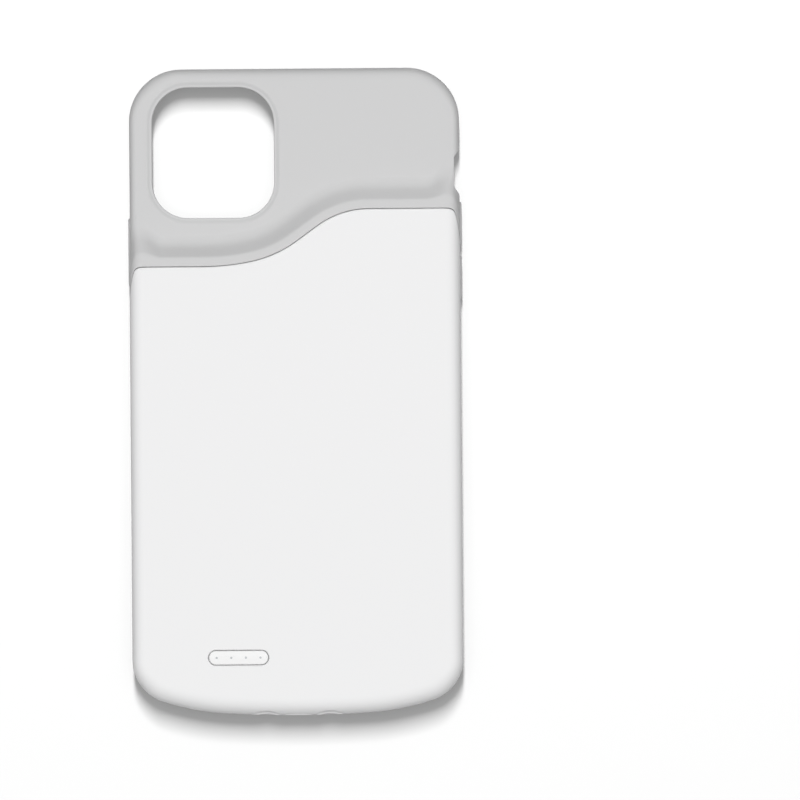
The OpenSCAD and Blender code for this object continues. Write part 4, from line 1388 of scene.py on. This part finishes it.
@dataclass
class StatusButton:
    """The stadium-shaped button with its row of light dots."""

    levels: Levels
    gap: float = 0.2 * MM
    flange_reach: float = 0.9 * MM
    flange_t: float = 0.7 * MM
    edge_r: float = 0.32 * MM
    dot_pitch: float = 3.7 * MM
    dot_r: float = 0.3 * MM
    dot_count: int = 4

    def hole(self) -> Socket:
        """The outline of the button's hole in the cover's back."""
        low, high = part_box("status_button")
        mid_x = (low.x + high.x) / 2
        width = high.x - low.x - 2 * self.flange_reach
        depth = 3.9 * MM
        mid_y = low.y + self.flange_reach + depth / 2
        return Socket(Vector((mid_x, mid_y, self.levels.cover_top)), Vector((1, 0, 0)), Vector((0, 1, 0)),
                      Vector((0, 0, 1)), width, depth, depth / 2, 14)

    def build(self) -> None:
        """Builds the button with its flange and the holes over the light guide."""
        hole = self.hole()
        low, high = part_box("status_button")
        proud = high.z - self.levels.cover_top
        base = self.levels.cover_top - low.z
        flange = base - self.flange_t
        edge = [(-self.gap - self.edge_r * (1.0 - math.sin(a)), -proud + self.edge_r * (1.0 - math.cos(a)))
                for a in spread(0, math.pi / 2, 5)]
        mesh = bmesh.new()
        hole.add_solid(mesh, edge + [(-self.gap, flange), (self.flange_reach, flange), (self.flange_reach, base)])
        piece = to_object(mesh, "status_cap")
        tools = []
        for i in range(self.dot_count):
            x = hole.centre.x + (i - (self.dot_count - 1) / 2) * self.dot_pitch
            dot = Socket(Vector((x, hole.centre.y, high.z)), hole.across, hole.along, hole.outward,
                         self.dot_r * 2, self.dot_r * 2, self.dot_r, 5)
            tools.append((Cut.REMOVE, dot.solid(f"dot_{i}", [(0.0, -1.0 * MM), (0.0, base + 2 * MM)])))
        carve(piece, tools)
        finish_mesh(piece)
        place_piece(piece, Body.BUTTON, BUTTON_WHITE, "status_button")


@dataclass
class Studio:
    """A pale floor, soft lights and the camera straight above the case."""

    levels: Levels
    lens: float = 250.0
    sensor: float = 36.0
    aim_x: float = 26.43 * MM
    aim_y: float = -2.38 * MM
    roll: float = -0.46
    floor_half: float = 3.0
    sky: float = 0.35
    key_power: float = 30.0
    key_lean: float = 2.0
    shadow_power: float = 140.0
    shadow_size: tuple[float, float] = (0.1, 0.7)
    shadow_lean: float = 21.5
    lamp_distance: float = 2.0
    floor_bounce: float = 0.04
    floor_colour: float = 0.2
    floor_glow: float = 0.18
    rim_powers: tuple[float, ...] = (26.0, 4.0, 1.0, 4.0)
    rim_size: tuple[float, float] = (1.6, 0.7)
    rim_lean: float = 66.0

    def camera(self) -> None:
        """Sets the camera at the photograph's angle and scale."""
        span = PHOTO_PX / PHOTO_PX_PER_MM * MM
        distance = span * self.lens / self.sensor + self.levels.cover_top
        data = bpy.data.cameras.new("camera")
        data.lens = self.lens
        data.sensor_width = self.sensor
        data.sensor_height = self.sensor
        data.clip_start = 0.01
        made = bpy.data.objects.new("camera", data)
        made.location = (self.aim_x, self.aim_y, distance)
        made.rotation_euler = (0.0, 0.0, math.radians(self.roll))
        bpy.context.scene.collection.objects.link(made)
        bpy.context.scene.camera = made

    def _seen_directly(self, tree: bpy.types.NodeTree) -> bpy.types.NodeSocket:
        """1 for rays that see the studio itself, in the camera, a reflection or through a clear piece.

        Args:
            tree: the nodes of the floor or the world.

        Returns:
            The socket that says so.
        """
        path = tree.nodes.new("ShaderNodeLightPath")
        total = path.outputs["Is Camera Ray"]
        for name in ("Is Glossy Ray", "Is Transmission Ray"):
            larger = tree.nodes.new("ShaderNodeMath")
            larger.operation = "MAXIMUM"
            tree.links.new(total, larger.inputs[0])
            tree.links.new(path.outputs[name], larger.inputs[1])
            total = larger.outputs[0]
        return total

    def world(self) -> None:
        """A plain white sky, a little dimmer as a light than it looks."""
        world = bpy.data.worlds.new("studio")
        world.use_nodes = True
        bpy.context.scene.world = world
        tree = world.node_tree
        back = tree.nodes["Background"]
        back.inputs["Color"].default_value = (1.0, 1.0, 1.0, 1.0)
        strength = tree.nodes.new("ShaderNodeMapRange")
        strength.inputs["To Min"].default_value = self.sky
        strength.inputs["To Max"].default_value = 1.0
        tree.links.new(self._seen_directly(tree), strength.inputs["Value"])
        tree.links.new(strength.outputs["Result"], back.inputs["Strength"])

    def floor(self) -> bpy.types.Object:
        """The floor that the case lies on: white where it is seen, darker as a light, and it keeps its shadow.

        Returns:
            The floor.
        """
        mesh = bmesh.new()
        bmesh.ops.create_grid(mesh, x_segments=1, y_segments=1, size=self.floor_half)
        made = to_object(mesh, "floor")
        material = bpy.data.materials.new("floor_pale")
        material.use_nodes = True
        tree = material.node_tree
        tree.nodes.remove(tree.nodes["Principled BSDF"])
        seen = self._seen_directly(tree)
        dim = tree.nodes.new("ShaderNodeBsdfDiffuse")
        dim.inputs["Color"].default_value = (*(self.floor_bounce,) * 3, 1.0)
        pale = tree.nodes.new("ShaderNodeBsdfDiffuse")
        pale.inputs["Color"].default_value = (*(self.floor_colour,) * 3, 1.0)
        glow = tree.nodes.new("ShaderNodeEmission")
        glow.inputs["Strength"].default_value = self.floor_glow
        both = tree.nodes.new("ShaderNodeAddShader")
        tree.links.new(pale.outputs["BSDF"], both.inputs[0])
        tree.links.new(glow.outputs["Emission"], both.inputs[1])
        mixed = tree.nodes.new("ShaderNodeMixShader")
        tree.links.new(seen, mixed.inputs["Fac"])
        tree.links.new(dim.outputs["BSDF"], mixed.inputs[1])
        tree.links.new(both.outputs["Shader"], mixed.inputs[2])
        tree.links.new(mixed.outputs["Shader"], tree.nodes["Material Output"].inputs["Surface"])
        made.data.materials.append(material)
        return made

    def _lamp(self, name: str, size: tuple[float, float], power: float, lean: float, turn: float) -> bpy.types.Object:
        """An oblong lamp that points at the middle of the case.

        Args:
            name: the lamp's name.
            size: its width and its length.
            power: its power in watts.
            lean: its angle from straight overhead.
            turn: the direction that it leans to, anticlockwise from +Y.

        Returns:
            The lamp.
        """
        data = bpy.data.lights.new(name, "AREA")
        data.shape = "RECTANGLE"
        data.size, data.size_y = size
        data.energy = power
        made = bpy.data.objects.new(name, data)
        aim = Matrix.Rotation(math.radians(turn), 4, "Z") @ Matrix.Rotation(-math.radians(lean), 4, "X")
        made.matrix_world = aim @ Matrix.Translation((0, 0, self.lamp_distance))
        bpy.context.scene.collection.objects.link(made)
        return made

    def lamps(self, floor: bpy.types.Object) -> None:
        """The broad key lamp, faint ones for the edges, and one whose soft shadow falls below the case.

        Args:
            floor: the floor that keeps the shadow.
        """
        key = self._lamp("key", (self.lamp_distance * 0.6,) * 2, self.key_power, self.key_lean, 0)
        key.visible_glossy = False
        for quarter, power in enumerate(self.rim_powers):
            rim = self._lamp(f"rim_{quarter}", self.rim_size, power, self.rim_lean, quarter * 90)
            rim.visible_diffuse = False
            rim.visible_camera = False
        shadow = self._lamp("shadow", self.shadow_size, self.shadow_power, self.shadow_lean, 0)
        shadow.visible_glossy = False
        receivers = bpy.data.collections.new("shadow_receivers")
        receivers.objects.link(floor)
        shadow.light_linking.receiver_collection = receivers

    def build(self) -> None:
        """Builds the studio."""
        self.camera()
        self.world()
        self.lamps(self.floor())


def dress_solids() -> None:
    """Gives every solid that is shown as it is its finish."""
    for node, finish in SOLID_FINISHES.items():
        dress(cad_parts[node], finish)
        LOG.info("%s: dressed in %s", node, finish.slot)


def main() -> None:
    """Builds the whole case and its studio."""
    logging.basicConfig(level=logging.INFO, format="%(name)s: %(message)s")
    bpy.context.scene.view_settings.view_transform = "Standard"
    levels = Levels()
    outline = CaseOutline(levels.half_w, levels.half_l)
    seam = SeamPath()
    keys = SideKeys(levels)
    button = StatusButton(levels)
    Studio(levels).build()
    BumperFrame(levels, outline, seam, keys).build()
    BackCover(levels, outline, seam).build(button.hole())
    keys.build()
    button.build()
    dress_solids()


if __name__ == "__main__":
    main()
